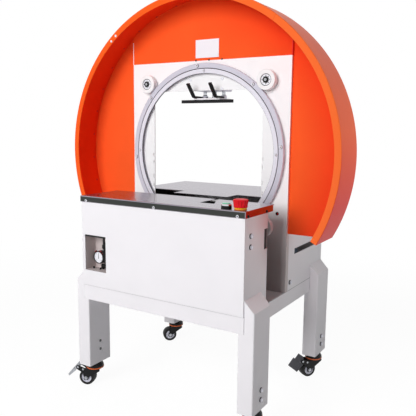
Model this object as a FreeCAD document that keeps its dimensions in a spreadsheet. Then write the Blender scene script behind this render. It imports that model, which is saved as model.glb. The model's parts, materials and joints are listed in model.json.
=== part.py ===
import FreeCAD, Part
import math
import os
import Sketcher
from FreeCAD import Placement, Rotation, Vector

# Orbital film wrapper with a round hood, standing on four casters.
# X runs to the right, Y to the back and Z up, in millimetres. The origin lies on the floor,
# under the middle of the base frame.

doc = FreeCAD.newDocument("FilmWrapper")
sheet = doc.addObject("Spreadsheet::Sheet", "Sizes")

SIZES = {
    # base frame, legs and deck
    "frame_width": 570, "base_depth": 565, "table_over_frame": 330, "rail_height": 46,
    "rail_width": 48, "rail_wall": 3, "floor_sheet": 2, "leg_width": 48, "leg_depth": 98,
    "leg_stand_out": 31, "leg_crown_rise": 92, "leg_wall": 3,
    # casters
    "caster_height": 84, "caster_head_radius": 28, "caster_head_height": 18, "seal_radius": 27,
    "seal_height": 4, "swivel_gap": 0.3, "kingpin_radius": 5, "kingpin_gap": 3,
    "running_fit": 0.05, "wheel_radius": 26.5, "wheel_width": 30, "wheel_corner": 3,
    "axle_radius": 4, "axle_end": 3, "caster_trail": 26, "fork_sheet": 2.5, "fork_side_gap": 1,
    "fork_crown_radius": 22, "fork_crown": 7, "fork_crown_drop": 2, "fork_eye": 8,
    "fork_web": 4, "pedal_pivot_reach": 54, "pedal_pivot_height": 61, "pedal_pin_radius": 3,
    "pedal_sheet": 2.5, "pedal_top": 15, "pedal_back": 4, "pedal_reach": 31, "pedal_drop": 27,
    "pedal_width": 50, "pedal_neck": 10, "pedal_gap": 1,
    # front cabinet with its gauge window
    "cabinet_overhang": 3.5, "cabinet_sheet": 2, "front_cabinet_depth": 135,
    "notch_drop": 63, "notch_height": 57, "notch_depth": 20,
    "window_side": 11, "window_width": 84, "window_rise": 49, "window_height": 112,
    "window_box_depth": 45, "window_box_sheet": 1.5, "gauge_side": 40, "gauge_rise": 86,
    "gauge_radius": 20, "gauge_depth": 20, "gauge_rim": 2.5, "needle_length": 13,
    "needle_width": 1.4, "needle_sheet": 0.6, "regulator_side": 77, "regulator_radius": 13,
    "regulator_rise": 67, "regulator_height": 50, "bowl_bevel": 3, "bowl_taper": 5,
    "regulator_knob_radius": 11, "regulator_knob_height": 22, "knob_bevel": 2,
    "valve_radius": 6, "valve_length": 26, "valve_inner_length": 10, "valve_drop": 7,
    "valve_neck_bite": 2,
    # tables
    "table_height": 640, "table_sheet": 2, "table_lip": 19, "table_side_gap": 0.7,
    "front_table_depth": 170.5, "side_lip_setback": 6, "notch_left": 98, "notch_mouth": 7,
    "notch_right": 146, "notch_length": 91, "rear_table_front": 8, "tongue_half_width": 100,
    "tongue_reach": 64,
    # upright panel and the plate above it
    "panel_overhang": 3, "panel_front": -24, "panel_sheet": 3, "panel_flange": 18,
    "panel_rise": 417, "opening_inset": 75.6, "opening_drop": 16, "opening_height": 341,
    "slot_gap": 4, "slot_width": 3, "slot_height": 12, "slot_rise_low": 15,
    "slot_rise_second": 46.5, "slot_rise_third": 95, "slot_rise_top": 118,
    "cable_hole_side": 33, "cable_hole_drop": 42, "cable_hole_radius": 5.5,
    "upper_sheet": 2, "upper_proud": 8, "blank_left": -38, "blank_width": 84,
    "blank_rise": 8, "blank_height": 55, "blank_sheet": 1.5,
    # hood
    "hood_drop": 4, "hood_radius": 475.5, "hood_wall": 2, "hood_lip_width": 19.5,
    "hood_front": -122, "hood_back": 12, "hood_low_angle": 29.1, "hood_joint_inset": 7.2,
    "hood_joint_angle": 128.8, "hood_back_sheet": 2, "hood_back_drop": 101,
    "rivet_radius": 3.5, "rivet_height": 1.5, "rivet_step_angle": 10,
    "rivet_first_angle": -16.6, "rivet_setback": 12, "hood_screw_inset": 12.5,
    "hood_screw_angle": 1.5,
    # rear cabinet
    "side_slot_setback": 53, "side_slot_length": 182, "side_slot_rise": 107,
    "side_slot_height": 17.5,
    # controls on the front table
    "control_setback": 23.7, "estop_side": 27.7, "estop_radius": 20.5, "estop_base_height": 5.5,
    "estop_base_radius": 17.5, "estop_taper": 2, "estop_bevel": 1.5, "estop_stem_radius": 10,
    "estop_lift": 4.6, "estop_head_height": 18.4,
    "estop_skirt": 2, "estop_crown": 5, "estop_stem_depth": 1, "button_side": 70,
    "button_radius": 14.25, "button_height": 10, "button_bevel": 1,
    "button_collar_radius": 13.5, "button_collar_height": 3, "button_cap_radius": 11.5,
    "button_cap_height": 2, "button_cap_depth": 10,
    # press
    "press_width": 186, "press_pad_depth": 12, "press_hang": 37, "press_pad_height": 9,
    "press_plate_width": 96, "press_plate_depth": 74, "press_sheet": 5, "press_axis": 29,
    "press_shelf": 8, "press_shelf_width": 96, "press_shelf_depth": 77,
    "press_back_width": 132, "press_back_height": 52, "press_back_sheet": 6,
    "press_cylinder_radius": 25, "press_cylinder_length": 222, "press_cap": 10,
    "press_rod_radius": 8, "press_guide_radius": 6, "press_guide_place": 35,
    "press_piston_length": 217, "press_guide_length": 222, "finger_place": 40,
    "finger_width": 12, "finger_stock": 5, "finger_bend": 3.2, "finger_foot": 45,
    "finger_start": -31, "finger_reach": 33, "finger_rise": 39, "press_screw_place": 58.5,
    "press_screw_rise": 4, "press_screw_spacing": 30.5, "press_screw_radius": 4.5,
    # wrapping ring and its rollers
    "ring_rise": 133, "ring_side_gap": 9.4, "ring_race_width": 15.6, "ring_band_width": 16,
    "ring_band_gap": 0.4, "ring_front": -38, "ring_thickness": 12, "ring_step": 6,
    "ring_seat": 3, "ring_bolt_inset": 7.6, "ring_bolt_radius": 4.5, "ring_bolt_height": 4,
    "ring_bolt_start_angle": 5, "ring_screw_inset": 23.6, "ring_screw_radius": 3.5,
    "ring_screw_height": 2.5, "roller_radius": 30, "roller_gap": 0.3, "roller_front": -46,
    "roller_width": 18, "roller_bevel": 1, "roller_bearing_radius": 17.5, "roller_recess": 2,
    "pin_radius": 6, "pin_head_radius": 8.5, "pin_head_height": 4, "pin_collar_radius": 10,
    "pin_nut_length": 6, "shaft_clearance": 0.2,
    # roller drive in the rear cabinet
    "housing_radius": 16, "housing_length": 15, "shaft_back": 22, "pulley_radius": 25,
    "pulley_width": 18, "pulley_front": 2, "belt_gap": 0.3, "belt_thickness": 3, "belt_width": 12,
    "motor_rise": 71.7, "motor_radius": 45, "motor_front": 30, "motor_length": 120,
    "motor_shaft_radius": 8, "motor_foot_width": 80, "motor_foot_inset": 10,
    # film carriage on the ring
    "carriage_standoff": 17, "carriage_sheet": 5, "carriage_width": 90, "carriage_inset": 27.6,
    "carriage_clearance": 10, "post_radius": 8, "post_place": 38, "post_inset": 13.6,
    "film_rise": 70, "film_radius": 50, "film_width": 48, "film_side_gap": 1.5,
    "spindle_radius": 12, "spindle_cap": 2, "spindle_flange": 2,
    # small fasteners
    "screw_radius": 4, "screw_height": 2, "lip_screw_rise": 4.5, "lip_screw_side": 23.7,
    "lip_screw_middle": -5, "side_screw_front": 15.7, "side_screw_back": 45.8,
    "bolt_radius": 6, "bolt_height": 4, "leg_bolt_rise": 32, "leg_bolt_spacing": 28,
    "inner_bolt_shift": 13, "cabinet_bolt_drop": 69, "cabinet_bolt_spacing": 29.5,
    "cabinet_bolt_setback": 33, "rear_bolt_setback": 23, "rear_bolt_rise": 24,
}


class Formula:
    """A length that carries its present number and the sheet formula that gives it."""

    def __init__(self, number, text):
        self.number = number
        self.text = text

    def __add__(self, other):
        return Formula(self.number + num(other), f"({self.text} + {text(other)})")

    def __sub__(self, other):
        return Formula(self.number - num(other), f"({self.text} - {text(other)})")

    def __mul__(self, other):
        return Formula(self.number * num(other), f"({self.text} * {text(other)})")

    def __truediv__(self, other):
        return Formula(self.number / num(other), f"({self.text} / {text(other)})")

    def __radd__(self, other):
        return Formula(other, text(other)) + self

    def __rsub__(self, other):
        return Formula(other, text(other)) - self

    def __rmul__(self, other):
        return Formula(other, text(other)) * self

    def __neg__(self):
        return Formula(-self.number, f"(-1 * {self.text})")


def num(value):
    return value.number if isinstance(value, Formula) else float(value)


def text(value):
    return value.text if isinstance(value, Formula) else f"{float(value):.6f}"


def cosine(angle):
    return Formula(math.cos(math.radians(num(angle))), f"cos({text(angle)})")


def sine(angle):
    return Formula(math.sin(math.radians(num(angle))), f"sin({text(angle)})")


def angle_of(share):
    """The angle whose cosine is the share, in degrees and without a unit."""
    return Formula(math.degrees(math.acos(num(share))), f"(acos({text(share)}) / 1deg)")


class SheetValues:
    """Reads the spreadsheet: each alias is a formula of its own."""

    def __getattr__(self, name):
        return Formula(float(SIZES[name]), "Sizes." + name)


S = SheetValues()
parts = []


def fill_sheet():
    for row, (name, value) in enumerate(SIZES.items(), start=1):
        sheet.set(f"A{row}", name)
        sheet.set(f"B{row}", str(value))
        sheet.setAlias(f"B{row}", name)
    doc.recompute()


def bind(item, prop, value):
    item.setExpression(prop, text(value))


def place(item, x=0, y=0, z=0):
    for axis, value in zip("xyz", (x, y, z)):
        bind(item, "Placement.Base." + axis, value)


def keep(item, label):
    """Marks an object as one of the finished sub-parts."""
    item.Label = label
    parts.append(item)
    return item


def new_body(name, x=0, y=0, z=0, axis=None, angle=0):
    item = doc.addObject("PartDesign::Body", name)
    if axis:
        item.Placement = Placement(Vector(), Rotation(Vector(*axis), num(angle)))
        bind(item, "Placement.Rotation.Angle", angle)
    place(item, x, y, z)
    return item


def origin_part(item, role):
    return next(part for part in item.Origin.OriginFeatures if part.Role == role)


def draw_polygon(sketch, points):
    """A closed outline whose corners each stand at their own two formulas."""
    count = len(points)
    first = sketch.GeometryCount
    corners = [Vector(num(u), num(v), 0) for u, v in points]
    lines = [Part.LineSegment(corners[i], corners[(i + 1) % count]) for i in range(count)]
    sketch.addGeometry(lines, False)
    for i in range(count):
        sketch.addConstraint(
            Sketcher.Constraint("Coincident", first + i, 2, first + (i + 1) % count, 1))
    for i, (u, v) in enumerate(points):
        for kind, value in (("DistanceX", u), ("DistanceY", v)):
            index = sketch.addConstraint(Sketcher.Constraint(kind, first + i, 1, num(value)))
            bind(sketch, f"Constraints[{index}]", value)


def draw_circle(sketch, circle):
    u, v, radius = circle
    geometry = sketch.addGeometry(
        Part.Circle(Vector(num(u), num(v), 0), Vector(0, 0, 1), num(radius)), False)
    for kind, value in (("DistanceX", u), ("DistanceY", v)):
        index = sketch.addConstraint(Sketcher.Constraint(kind, geometry, 3, num(value)))
        bind(sketch, f"Constraints[{index}]", value)
    index = sketch.addConstraint(Sketcher.Constraint("Radius", geometry, num(radius)))
    bind(sketch, f"Constraints[{index}]", radius)


def draw(item, plane, level, loops):
    """A sketch on one of the body's planes, level above it along the plane's normal."""
    sketch = item.newObject("Sketcher::SketchObject", item.Name + "_outline")
    sketch.AttachmentSupport = (origin_part(item, plane), "")
    sketch.MapMode = "FlatFace"
    bind(sketch, "AttachmentOffset.Base.z", level)
    for loop in loops:
        if isinstance(loop, tuple):
            draw_circle(sketch, loop)
        else:
            draw_polygon(sketch, loop)
    return sketch


def pad(item, plane, level, length, *loops):
    """Material from the level, along the plane's normal."""
    feature = item.newObject("PartDesign::Pad", item.Name + "_pad")
    feature.Profile = draw(item, plane, level, loops)
    bind(feature, "Length", length)
    doc.recompute()
    return feature


def pocket(item, plane, level, length, *loops):
    """A cut from the level, against the plane's normal. It has to remove material."""
    doc.recompute()
    before = item.Shape.Volume
    feature = item.newObject("PartDesign::Pocket", item.Name + "_pocket")
    feature.Profile = draw(item, plane, level, loops)
    bind(feature, "Length", length)
    doc.recompute()
    if not item.Shape.Volume < before:
        raise RuntimeError(f"{item.Name}: a pocket cut nothing")
    return feature


def rect(u0, u1, v0, v1):
    return [(u0, v0), (u1, v0), (u1, v1), (u0, v1)]


def plate_xz(item, front, back, *loops):
    """A plate that faces the front, from its front face to its back face."""
    return pad(item, "XZ_Plane", -back, back - front, *loops)


def plate_xy(item, bottom, top, *loops):
    return pad(item, "XY_Plane", bottom, top - bottom, *loops)


def plate_yz(item, left, right, *loops):
    return pad(item, "YZ_Plane", left, right - left, *loops)


def turned(item, plane, axis, profile, angle=360):
    """A solid of revolution. A part turn lies half on each side of the sketch's plane."""
    feature = item.newObject("PartDesign::Revolution", item.Name + "_turned")
    feature.Profile = draw(item, plane, 0, [profile])
    feature.ReferenceAxis = (origin_part(item, axis), [""])
    if angle != 360:
        feature.Midplane = True
    bind(feature, "Angle", angle)
    doc.recompute()
    return feature


def turned_on_y(name, x, z, profile):
    """A turned part with its axis to the back. The profile's points are (radius, Y)."""
    item = new_body(name, x, 0, z)
    turned(item, "XY_Plane", "Y_Axis", profile)
    return item


def turned_on_z(name, x, y, profile):
    """A turned part with an upright axis. The profile's points are (radius, Z)."""
    item = new_body(name, x, y, 0)
    turned(item, "XZ_Plane", "Z_Axis", profile)
    return item


def box(name, x0, x1, y0, y1, z0, z1):
    item = doc.addObject("Part::Box", name)
    bind(item, "Length", x1 - x0)
    bind(item, "Width", y1 - y0)
    bind(item, "Height", z1 - z0)
    place(item, x0, y0, z0)
    return item


AXIS_TURN = {"x": ((0, 1, 0), 90), "y": ((1, 0, 0), -90), "z": ((0, 0, 1), 0)}


def rod(name, axis, x, y, z, radius, length):
    """A cylinder that starts at the point and runs along +X, +Y or +Z."""
    item = doc.addObject("Part::Cylinder", name)
    item.Placement = Placement(Vector(), Rotation(Vector(*AXIS_TURN[axis][0]), AXIS_TURN[axis][1]))
    bind(item, "Radius", radius)
    bind(item, "Height", length)
    place(item, x, y, z)
    return item


def group(label, items):
    """Several separate solids in one node."""
    item = doc.addObject("Part::Compound", label)
    item.Links = items
    return keep(item, label)


def joined(name, items):
    item = doc.addObject("Part::MultiFuse", name)
    item.Shapes = items
    return item


def less(name, base, tool):
    item = doc.addObject("Part::Cut", name)
    item.Base = base
    item.Tool = tool
    return item


def shared(name, items):
    item = doc.addObject("Part::MultiCommon", name)
    item.Shapes = items
    return item


fill_sheet()

# Places that several sub-parts share.
half_frame = S.frame_width / 2
half_base = S.base_depth / 2
rail_bottom = S.table_height - S.table_over_frame
rail_top = rail_bottom + S.rail_height
deck = rail_top + S.floor_sheet
table_under = S.table_height - S.table_sheet
table_half = half_frame + S.table_side_gap + S.table_sheet
cabinet_front = -half_base - S.cabinet_overhang
cabinet_rear = cabinet_front + S.front_cabinet_depth
cabinet_back = -cabinet_front
table_front = cabinet_front - S.table_side_gap - S.table_sheet
table_rear = table_front + S.front_table_depth
lip_bottom = S.table_height - S.table_lip
leg_outer = half_frame + S.leg_stand_out
leg_inner = leg_outer - S.leg_width
panel_half = half_frame + S.panel_overhang
panel_back = S.panel_front + S.panel_sheet
panel_top = S.table_height + S.panel_rise
flange_back = S.panel_front + S.panel_flange
opening_top = S.table_height - S.opening_drop + S.opening_height
ring_level = S.table_height + S.ring_rise
ring_radius = half_frame - S.ring_side_gap
ring_groove = ring_radius - S.ring_race_width
ring_inner = ring_groove - S.ring_band_width
ring_back = S.ring_front + S.ring_thickness
opening_half = ring_radius - S.opening_inset
hood_level = ring_level - S.hood_drop
hood_inside = S.hood_radius - S.hood_wall
back_plate_front = S.panel_front + S.upper_proud
roller_reach = (ring_radius + S.roller_radius + S.roller_gap) * cosine(45)
roller_back = S.roller_front + S.roller_width
swivel_x = leg_outer - S.leg_width / 2
swivel_y = half_base - S.leg_depth / 2


def make_legs():
    """Four posts. Each full section ends under the rail, and its outer part runs on up."""
    legs = []
    for side in (-1, 1):
        for end in (-1, 1):
            low = S.leg_wall
            front = end * swivel_y - S.leg_depth / 2
            back = front + S.leg_depth
            item = new_body("leg")
            crown = rail_bottom + S.leg_crown_rise - S.leg_stand_out
            outline = [(side * leg_inner, S.caster_height), (side * leg_outer, S.caster_height),
                       (side * leg_outer, crown), (side * half_frame, crown + S.leg_stand_out),
                       (side * half_frame, rail_bottom), (side * leg_inner, rail_bottom)]
            plate_xz(item, front, back, outline)
            hollow_top = rail_bottom - low
            pocket(item, "XY_Plane", hollow_top, hollow_top - S.caster_height,
                   rect(side * (leg_inner + low), side * (leg_outer - low), front + low, back - low))
            pocket(item, "XY_Plane", crown - low, crown - S.caster_height - low,
                   rect(side * (half_frame + low), side * (leg_outer - low),
                        front + low, back - low))
            legs.append(item)
    group("legs", legs)


def make_frame():
    """Two cross beams and two side rails of box tube, with the deck sheet on them."""
    wall = S.rail_wall
    beams = []
    rails = []
    for side in (-1, 1):
        outer = side * half_base
        inner = side * (half_base - S.rail_width)
        item = new_body("cross_beam")
        plate_yz(item, -half_frame, half_frame, rect(inner, outer, rail_bottom, rail_top),
                 rect(inner + side * wall, outer - side * wall, rail_bottom + wall, rail_top - wall))
        beams.append(item)
        outer = side * half_frame
        inner = side * (half_frame - S.rail_width)
        item = new_body("side_rail")
        plate_xz(item, S.rail_width - half_base, half_base - S.rail_width,
                 rect(inner, outer, rail_bottom, rail_top),
                 rect(inner + side * wall, outer - side * wall, rail_bottom + wall, rail_top - wall))
        rails.append(item)
    group("cross_beams", beams)
    group("side_rails", rails)
    item = new_body("deck_sheet")
    plate_xy(item, rail_top, deck, rect(-half_frame, half_frame, -half_base, half_base))
    keep(item, "floor_plate")


def make_front_cabinet():
    """A four-sided sheet box with the gauge window in front and a notch behind each side."""
    sheet_wall = S.cabinet_sheet
    item = new_body("front_box")
    plate_xy(item, deck, table_under, rect(-half_frame, half_frame, cabinet_front, cabinet_rear),
             rect(sheet_wall - half_frame, half_frame - sheet_wall,
                  cabinet_front + sheet_wall, cabinet_rear - sheet_wall))
    left = S.window_side - half_frame
    right = left + S.window_width
    low = deck + S.window_rise
    high = low + S.window_height
    pocket(item, "XZ_Plane", -cabinet_front, sheet_wall, rect(left, right, low, high))
    notch_top = S.table_height - S.notch_drop
    notch = rect(cabinet_rear - S.notch_depth, cabinet_rear,
                 notch_top - S.notch_height, notch_top)
    pocket(item, "YZ_Plane", half_frame, sheet_wall, notch)
    pocket(item, "YZ_Plane", sheet_wall - half_frame, sheet_wall, notch)
    keep(item, "front_cabinet")
    thin = S.window_box_sheet
    front = cabinet_front + sheet_wall
    item = new_body("window_pan")
    plate_xz(item, front, front + S.window_box_depth,
             rect(left - thin, right + thin, low - thin, high + thin))
    pocket(item, "XZ_Plane", -front, S.window_box_depth - thin, rect(left, right, low, high))
    keep(item, "window_box")


def make_air_set():
    """The gauge with its needle, and the regulator with its knob and push-in fittings."""
    wall = cabinet_front + S.cabinet_sheet + S.window_box_depth - S.window_box_sheet
    face = wall - S.gauge_depth
    rim = S.gauge_rim
    gauge_x = S.gauge_side - half_frame
    gauge_level = deck + S.gauge_rise
    item = turned_on_y("gauge", gauge_x, gauge_level, [
        (0, face + rim), (S.gauge_radius - rim, face + rim), (S.gauge_radius - rim, face),
        (S.gauge_radius, face), (S.gauge_radius, wall), (0, wall)])
    keep(item, "gauge_case")
    needle_front = face + rim - S.swivel_gap - S.needle_sheet
    half = S.needle_width / 2
    item = new_body("needle", gauge_x, 0, gauge_level)
    plate_xz(item, needle_front, needle_front + S.needle_sheet,
             [(-half, -S.needle_length / 3), (half, -S.needle_length / 3),
              (half / 2, S.needle_length), (-half / 2, S.needle_length)])
    keep(item, "gauge_needle")
    x = S.regulator_side - half_frame
    middle = wall - S.regulator_radius
    low = deck + S.regulator_rise
    top = low + S.regulator_height
    bowl = turned_on_z("regulator_bowl", x, middle, [
        (0, low), (S.regulator_radius - S.bowl_bevel, low),
        (S.regulator_radius, low + S.bowl_taper), (S.regulator_radius, top), (0, top)])
    valve_level = low - S.valve_drop
    valve = rod("valve", "x", x - S.valve_length, middle, valve_level, S.valve_radius,
                S.valve_length + S.valve_inner_length)
    neck = rod("valve_neck", "z", x, middle, valve_level, S.valve_radius,
               S.valve_drop + S.valve_neck_bite)
    keep(joined("regulator", [bowl, valve, neck]), "regulator_body")
    foot = top + S.swivel_gap
    crown = foot + S.regulator_knob_height
    item = turned_on_z("regulator_grip", x, middle, [
        (0, foot), (S.regulator_knob_radius, foot),
        (S.regulator_knob_radius, crown - S.knob_bevel),
        (S.regulator_knob_radius - S.knob_bevel, crown), (0, crown)])
    keep(item, "regulator_knob")


def make_tables():
    """Two folded stainless tops. The rear one reaches through the opening with a tongue."""
    fold = S.table_sheet
    side_end = table_rear - S.side_lip_setback
    item = new_body("front_top")
    notch_front = table_rear - S.notch_length
    plate_xy(item, table_under, S.table_height, [
        (-table_half, table_front), (table_half, table_front), (table_half, table_rear),
        (S.notch_left + S.notch_mouth, table_rear), (S.notch_right, notch_front),
        (S.notch_left, notch_front), (S.notch_left, table_rear), (-table_half, table_rear)])
    plate_xy(item, lip_bottom, S.table_height, [
        (-table_half, table_front), (table_half, table_front), (table_half, side_end),
        (table_half - fold, side_end), (table_half - fold, table_front + fold),
        (fold - table_half, table_front + fold), (fold - table_half, side_end),
        (-table_half, side_end)])
    keep(item, "front_table")
    back = cabinet_back + S.table_side_gap + fold
    front = S.rear_table_front
    tongue = S.tongue_half_width
    item = new_body("rear_top")
    plate_xy(item, table_under, S.table_height, [
        (-table_half, front), (-tongue, front), (-tongue, front - S.tongue_reach),
        (tongue, front - S.tongue_reach), (tongue, front), (table_half, front),
        (table_half, back), (-table_half, back)])
    plate_xy(item, lip_bottom, S.table_height, [
        (-table_half, front), (fold - table_half, front), (fold - table_half, back - fold),
        (table_half - fold, back - fold), (table_half - fold, front), (table_half, front),
        (table_half, back), (-table_half, back)])
    keep(item, "rear_table")


def roller_places():
    return [(name, sx * roller_reach, ring_level + sz * roller_reach)
            for name, sx, sz in (("upper_left", -1, 1), ("upper_right", 1, 1),
                                 ("lower_left", -1, -1), ("lower_right", 1, -1))]


def make_upright_panel():
    """The white sheet with the work opening, sensor slots, cable holes and side flanges."""
    half_slot = S.slot_width / 2
    slot_place = opening_half + S.slot_gap
    hole_place = panel_half - S.cable_hole_side
    loops = [rect(-panel_half, panel_half, deck, panel_top),
             rect(-opening_half, opening_half, S.table_height - S.opening_drop, opening_top)]
    for side in (-1, 1):
        for rise in (S.slot_rise_low, S.slot_rise_second, S.slot_rise_third, S.slot_rise_top):
            low = S.table_height + rise - S.slot_height / 2
            loops.append(rect(side * slot_place - half_slot, side * slot_place + half_slot,
                              low, low + S.slot_height))
        loops.append((side * hole_place, S.table_height - S.cable_hole_drop,
                      S.cable_hole_radius))
    for name, x, z in roller_places():
        slack = S.shaft_clearance if name == "lower_right" else 0
        loops.append((x, z, S.pin_radius + slack))
    item = new_body("panel")
    plate_xz(item, S.panel_front, panel_back, *loops)
    fold = S.panel_sheet
    plate_xy(item, deck, panel_top,
             rect(-panel_half, fold - panel_half, S.panel_front, flange_back),
             rect(panel_half - fold, panel_half, S.panel_front, flange_back))
    keep(item, "upright_panel")


def drum(name, radius):
    """The hood's inside as a cylinder, deep enough for any plate in it."""
    return rod(name, "y", 0, S.hood_front, hood_level, radius, S.hood_back - S.hood_front)


def make_hood():
    """Three rolled sheets with a folded lip, two back plates and the plate in the middle."""
    lip_inner = S.hood_radius - S.hood_lip_width
    wall = S.hood_wall
    profile = [(lip_inner, S.hood_front), (S.hood_radius, S.hood_front),
               (S.hood_radius, S.hood_back), (hood_inside, S.hood_back),
               (hood_inside, S.hood_front + wall), (lip_inner, S.hood_front + wall)]
    right_joint = angle_of((panel_half - S.hood_joint_inset) / S.hood_radius)
    left_joint = S.hood_joint_angle
    spans = (("hood_right", -S.hood_low_angle, right_joint),
             ("hood_top", right_joint, left_joint),
             ("hood_left", left_joint, S.hood_low_angle + 180))
    for label, start, end in spans:
        item = new_body(label + "_sheet", 0, 0, hood_level, (0, -1, 0), (start + end) / 2)
        turned(item, "XY_Plane", "Y_Axis", profile, end - start)
        keep(item, label)
    top = hood_level + S.hood_radius
    for label, side in (("hood_back_left", -1), ("hood_back_right", 1)):
        near, far = (panel_half, S.hood_radius) if side > 0 else (-S.hood_radius, -panel_half)
        sheet_box = box(label + "_blank", near, far, back_plate_front,
                        back_plate_front + S.hood_back_sheet,
                        S.table_height - S.hood_back_drop, top)
        keep(shared(label + "_cut", [sheet_box, drum(label + "_drum", hood_inside)]), label)
    fold = S.upper_sheet
    outside = box("upper_outside", -panel_half, panel_half, S.panel_front, back_plate_front,
                  panel_top, top)
    inside = box("upper_inside", fold - panel_half, panel_half - fold, S.panel_front + fold,
                 back_plate_front, panel_top + fold, top)
    pan = less("upper_pan", outside, inside)
    keep(shared("upper_cut", [pan, drum("upper_drum", hood_inside)]), "upper_panel")
    item = new_body("blank")
    low = panel_top + S.blank_rise
    plate_xz(item, S.panel_front - S.blank_sheet, S.panel_front,
             rect(S.blank_left, S.blank_left + S.blank_width, low, low + S.blank_height))
    keep(item, "blank_plate")


def make_rear_cabinet():
    """A U of sheet under the rear table, closed behind by a flat cover."""
    wall = S.cabinet_sheet
    cover_front = cabinet_back - wall
    item = new_body("rear_box")
    plate_xz(item, flange_back, cover_front, [
        (-half_frame, deck), (half_frame, deck), (half_frame, table_under),
        (half_frame - wall, table_under), (half_frame - wall, deck + wall),
        (wall - half_frame, deck + wall), (wall - half_frame, table_under),
        (-half_frame, table_under)])
    slot_front = flange_back + S.side_slot_setback
    slot_low = deck + S.side_slot_rise
    pocket(item, "YZ_Plane", half_frame, wall,
           rect(slot_front, slot_front + S.side_slot_length,
                slot_low, slot_low + S.side_slot_height))
    keep(item, "rear_cabinet")
    item = new_body("rear_sheet")
    plate_xz(item, cover_front, cabinet_back,
             rect(-half_frame, half_frame, deck, table_under))
    keep(item, "rear_cover")


def make_controls():
    """The stop button and the start button on the right end of the front table."""
    low = S.table_height
    fit = S.running_fit
    row = table_front + S.control_setback
    x = table_half - S.estop_side
    top = low + S.estop_base_height
    radius = S.estop_base_radius
    bevel = S.estop_bevel
    bore = S.estop_stem_radius + fit
    item = turned_on_z("estop_ring", x, row, [
        (bore, low), (radius, low), (radius, top - bevel), (radius - bevel, top), (bore, top)])
    keep(item, "estop_base")
    radius = S.estop_radius
    lower = radius - S.estop_taper
    head = top + S.estop_lift
    crown = head + S.estop_head_height
    skirt = S.estop_skirt
    curve = S.estop_crown
    item = turned_on_z("estop_mushroom", x, row, [
        (0, top - S.estop_stem_depth), (S.estop_stem_radius, top - S.estop_stem_depth),
        (S.estop_stem_radius, head), (lower - skirt / 2, head), (lower, head + skirt),
        (radius, crown - curve), (radius - curve / 2, crown - skirt / 2),
        (radius - curve, crown), (0, crown)])
    keep(item, "estop_head")
    x = table_half - S.button_side
    bore = S.button_cap_radius + fit
    top = low + S.button_height
    bevel = S.button_bevel
    collar = top + S.button_collar_height
    item = turned_on_z("button_ring", x, row, [
        (bore, low), (S.button_radius, low), (S.button_radius, top - bevel),
        (S.button_radius - bevel, top), (S.button_collar_radius, top),
        (S.button_collar_radius, collar), (bore, collar)])
    keep(item, "button_bezel")
    crown = collar + S.button_cap_height
    item = turned_on_z("button_top", x, row, [
        (0, crown - S.button_cap_depth), (S.button_cap_radius, crown - S.button_cap_depth),
        (S.button_cap_radius, crown), (0, crown)])
    keep(item, "button_cap")


def make_press():
    """The press behind the opening's top edge: shelf, cylinder, rods, plate, pad, fingers."""
    shelf_low = opening_top
    shelf_top = shelf_low + S.press_shelf
    half = S.press_shelf_width / 2
    fit = S.running_fit
    item = new_body("press_shelf")
    plate_xy(item, shelf_low, shelf_top,
             rect(-half, half, panel_back, panel_back + S.press_shelf_depth),
             (0, S.press_axis, S.press_rod_radius + fit),
             (-S.press_guide_place, S.press_axis, S.press_guide_radius + fit),
             (S.press_guide_place, S.press_axis, S.press_guide_radius + fit))
    half = S.press_back_width / 2
    plate_xz(item, panel_back, panel_back + S.press_back_sheet,
             rect(-half, half, shelf_low, shelf_low + S.press_back_height))
    keep(item, "press_bracket")
    item = turned_on_z("press_tube", 0, S.press_axis, [
        (S.press_rod_radius + fit, shelf_top), (S.press_cylinder_radius, shelf_top),
        (S.press_cylinder_radius, shelf_top + S.press_cylinder_length),
        (0, shelf_top + S.press_cylinder_length),
        (0, shelf_top + S.press_cylinder_length - S.press_cap),
        (S.press_rod_radius + fit, shelf_top + S.press_cylinder_length - S.press_cap)])
    keep(item, "press_cylinder")
    pad_low = opening_top - S.press_hang
    pad_top = pad_low + S.press_pad_height
    plate_top = pad_top + S.press_sheet
    rods = [rod("piston_rod", "z", 0, S.press_axis, plate_top, S.press_rod_radius,
                S.press_piston_length)]
    for side in (-1, 1):
        rods.append(rod("guide_rod", "z", side * S.press_guide_place, S.press_axis, plate_top,
                        S.press_guide_radius, S.press_guide_length))
    group("press_rods", rods)
    half = S.press_plate_width / 2
    item = new_body("press_top")
    plate_xy(item, pad_top, plate_top,
             rect(-half, half, panel_back, panel_back + S.press_plate_depth))
    keep(item, "press_plate")
    half = S.press_width / 2
    item = new_body("press_foam")
    plate_xy(item, pad_low, pad_top,
             rect(-half, half, panel_back, panel_back + S.press_pad_depth))
    keep(item, "press_pad")
    stock = S.finger_stock
    bend = S.finger_bend
    run = S.finger_start
    knee = plate_top + stock
    fingers = []
    for side in (-1, 1):
        item = new_body("finger")
        near = side * S.finger_place - S.finger_width / 2
        plate_yz(item, near, near + S.finger_width, [
            (run + S.finger_foot, plate_top), (run - bend, plate_top),
            (run - S.finger_reach - bend, knee + S.finger_rise - bend),
            (run - S.finger_reach, knee + S.finger_rise), (run, knee),
            (run + S.finger_foot, knee)])
        fingers.append(item)
    group("press_fingers", fingers)


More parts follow.
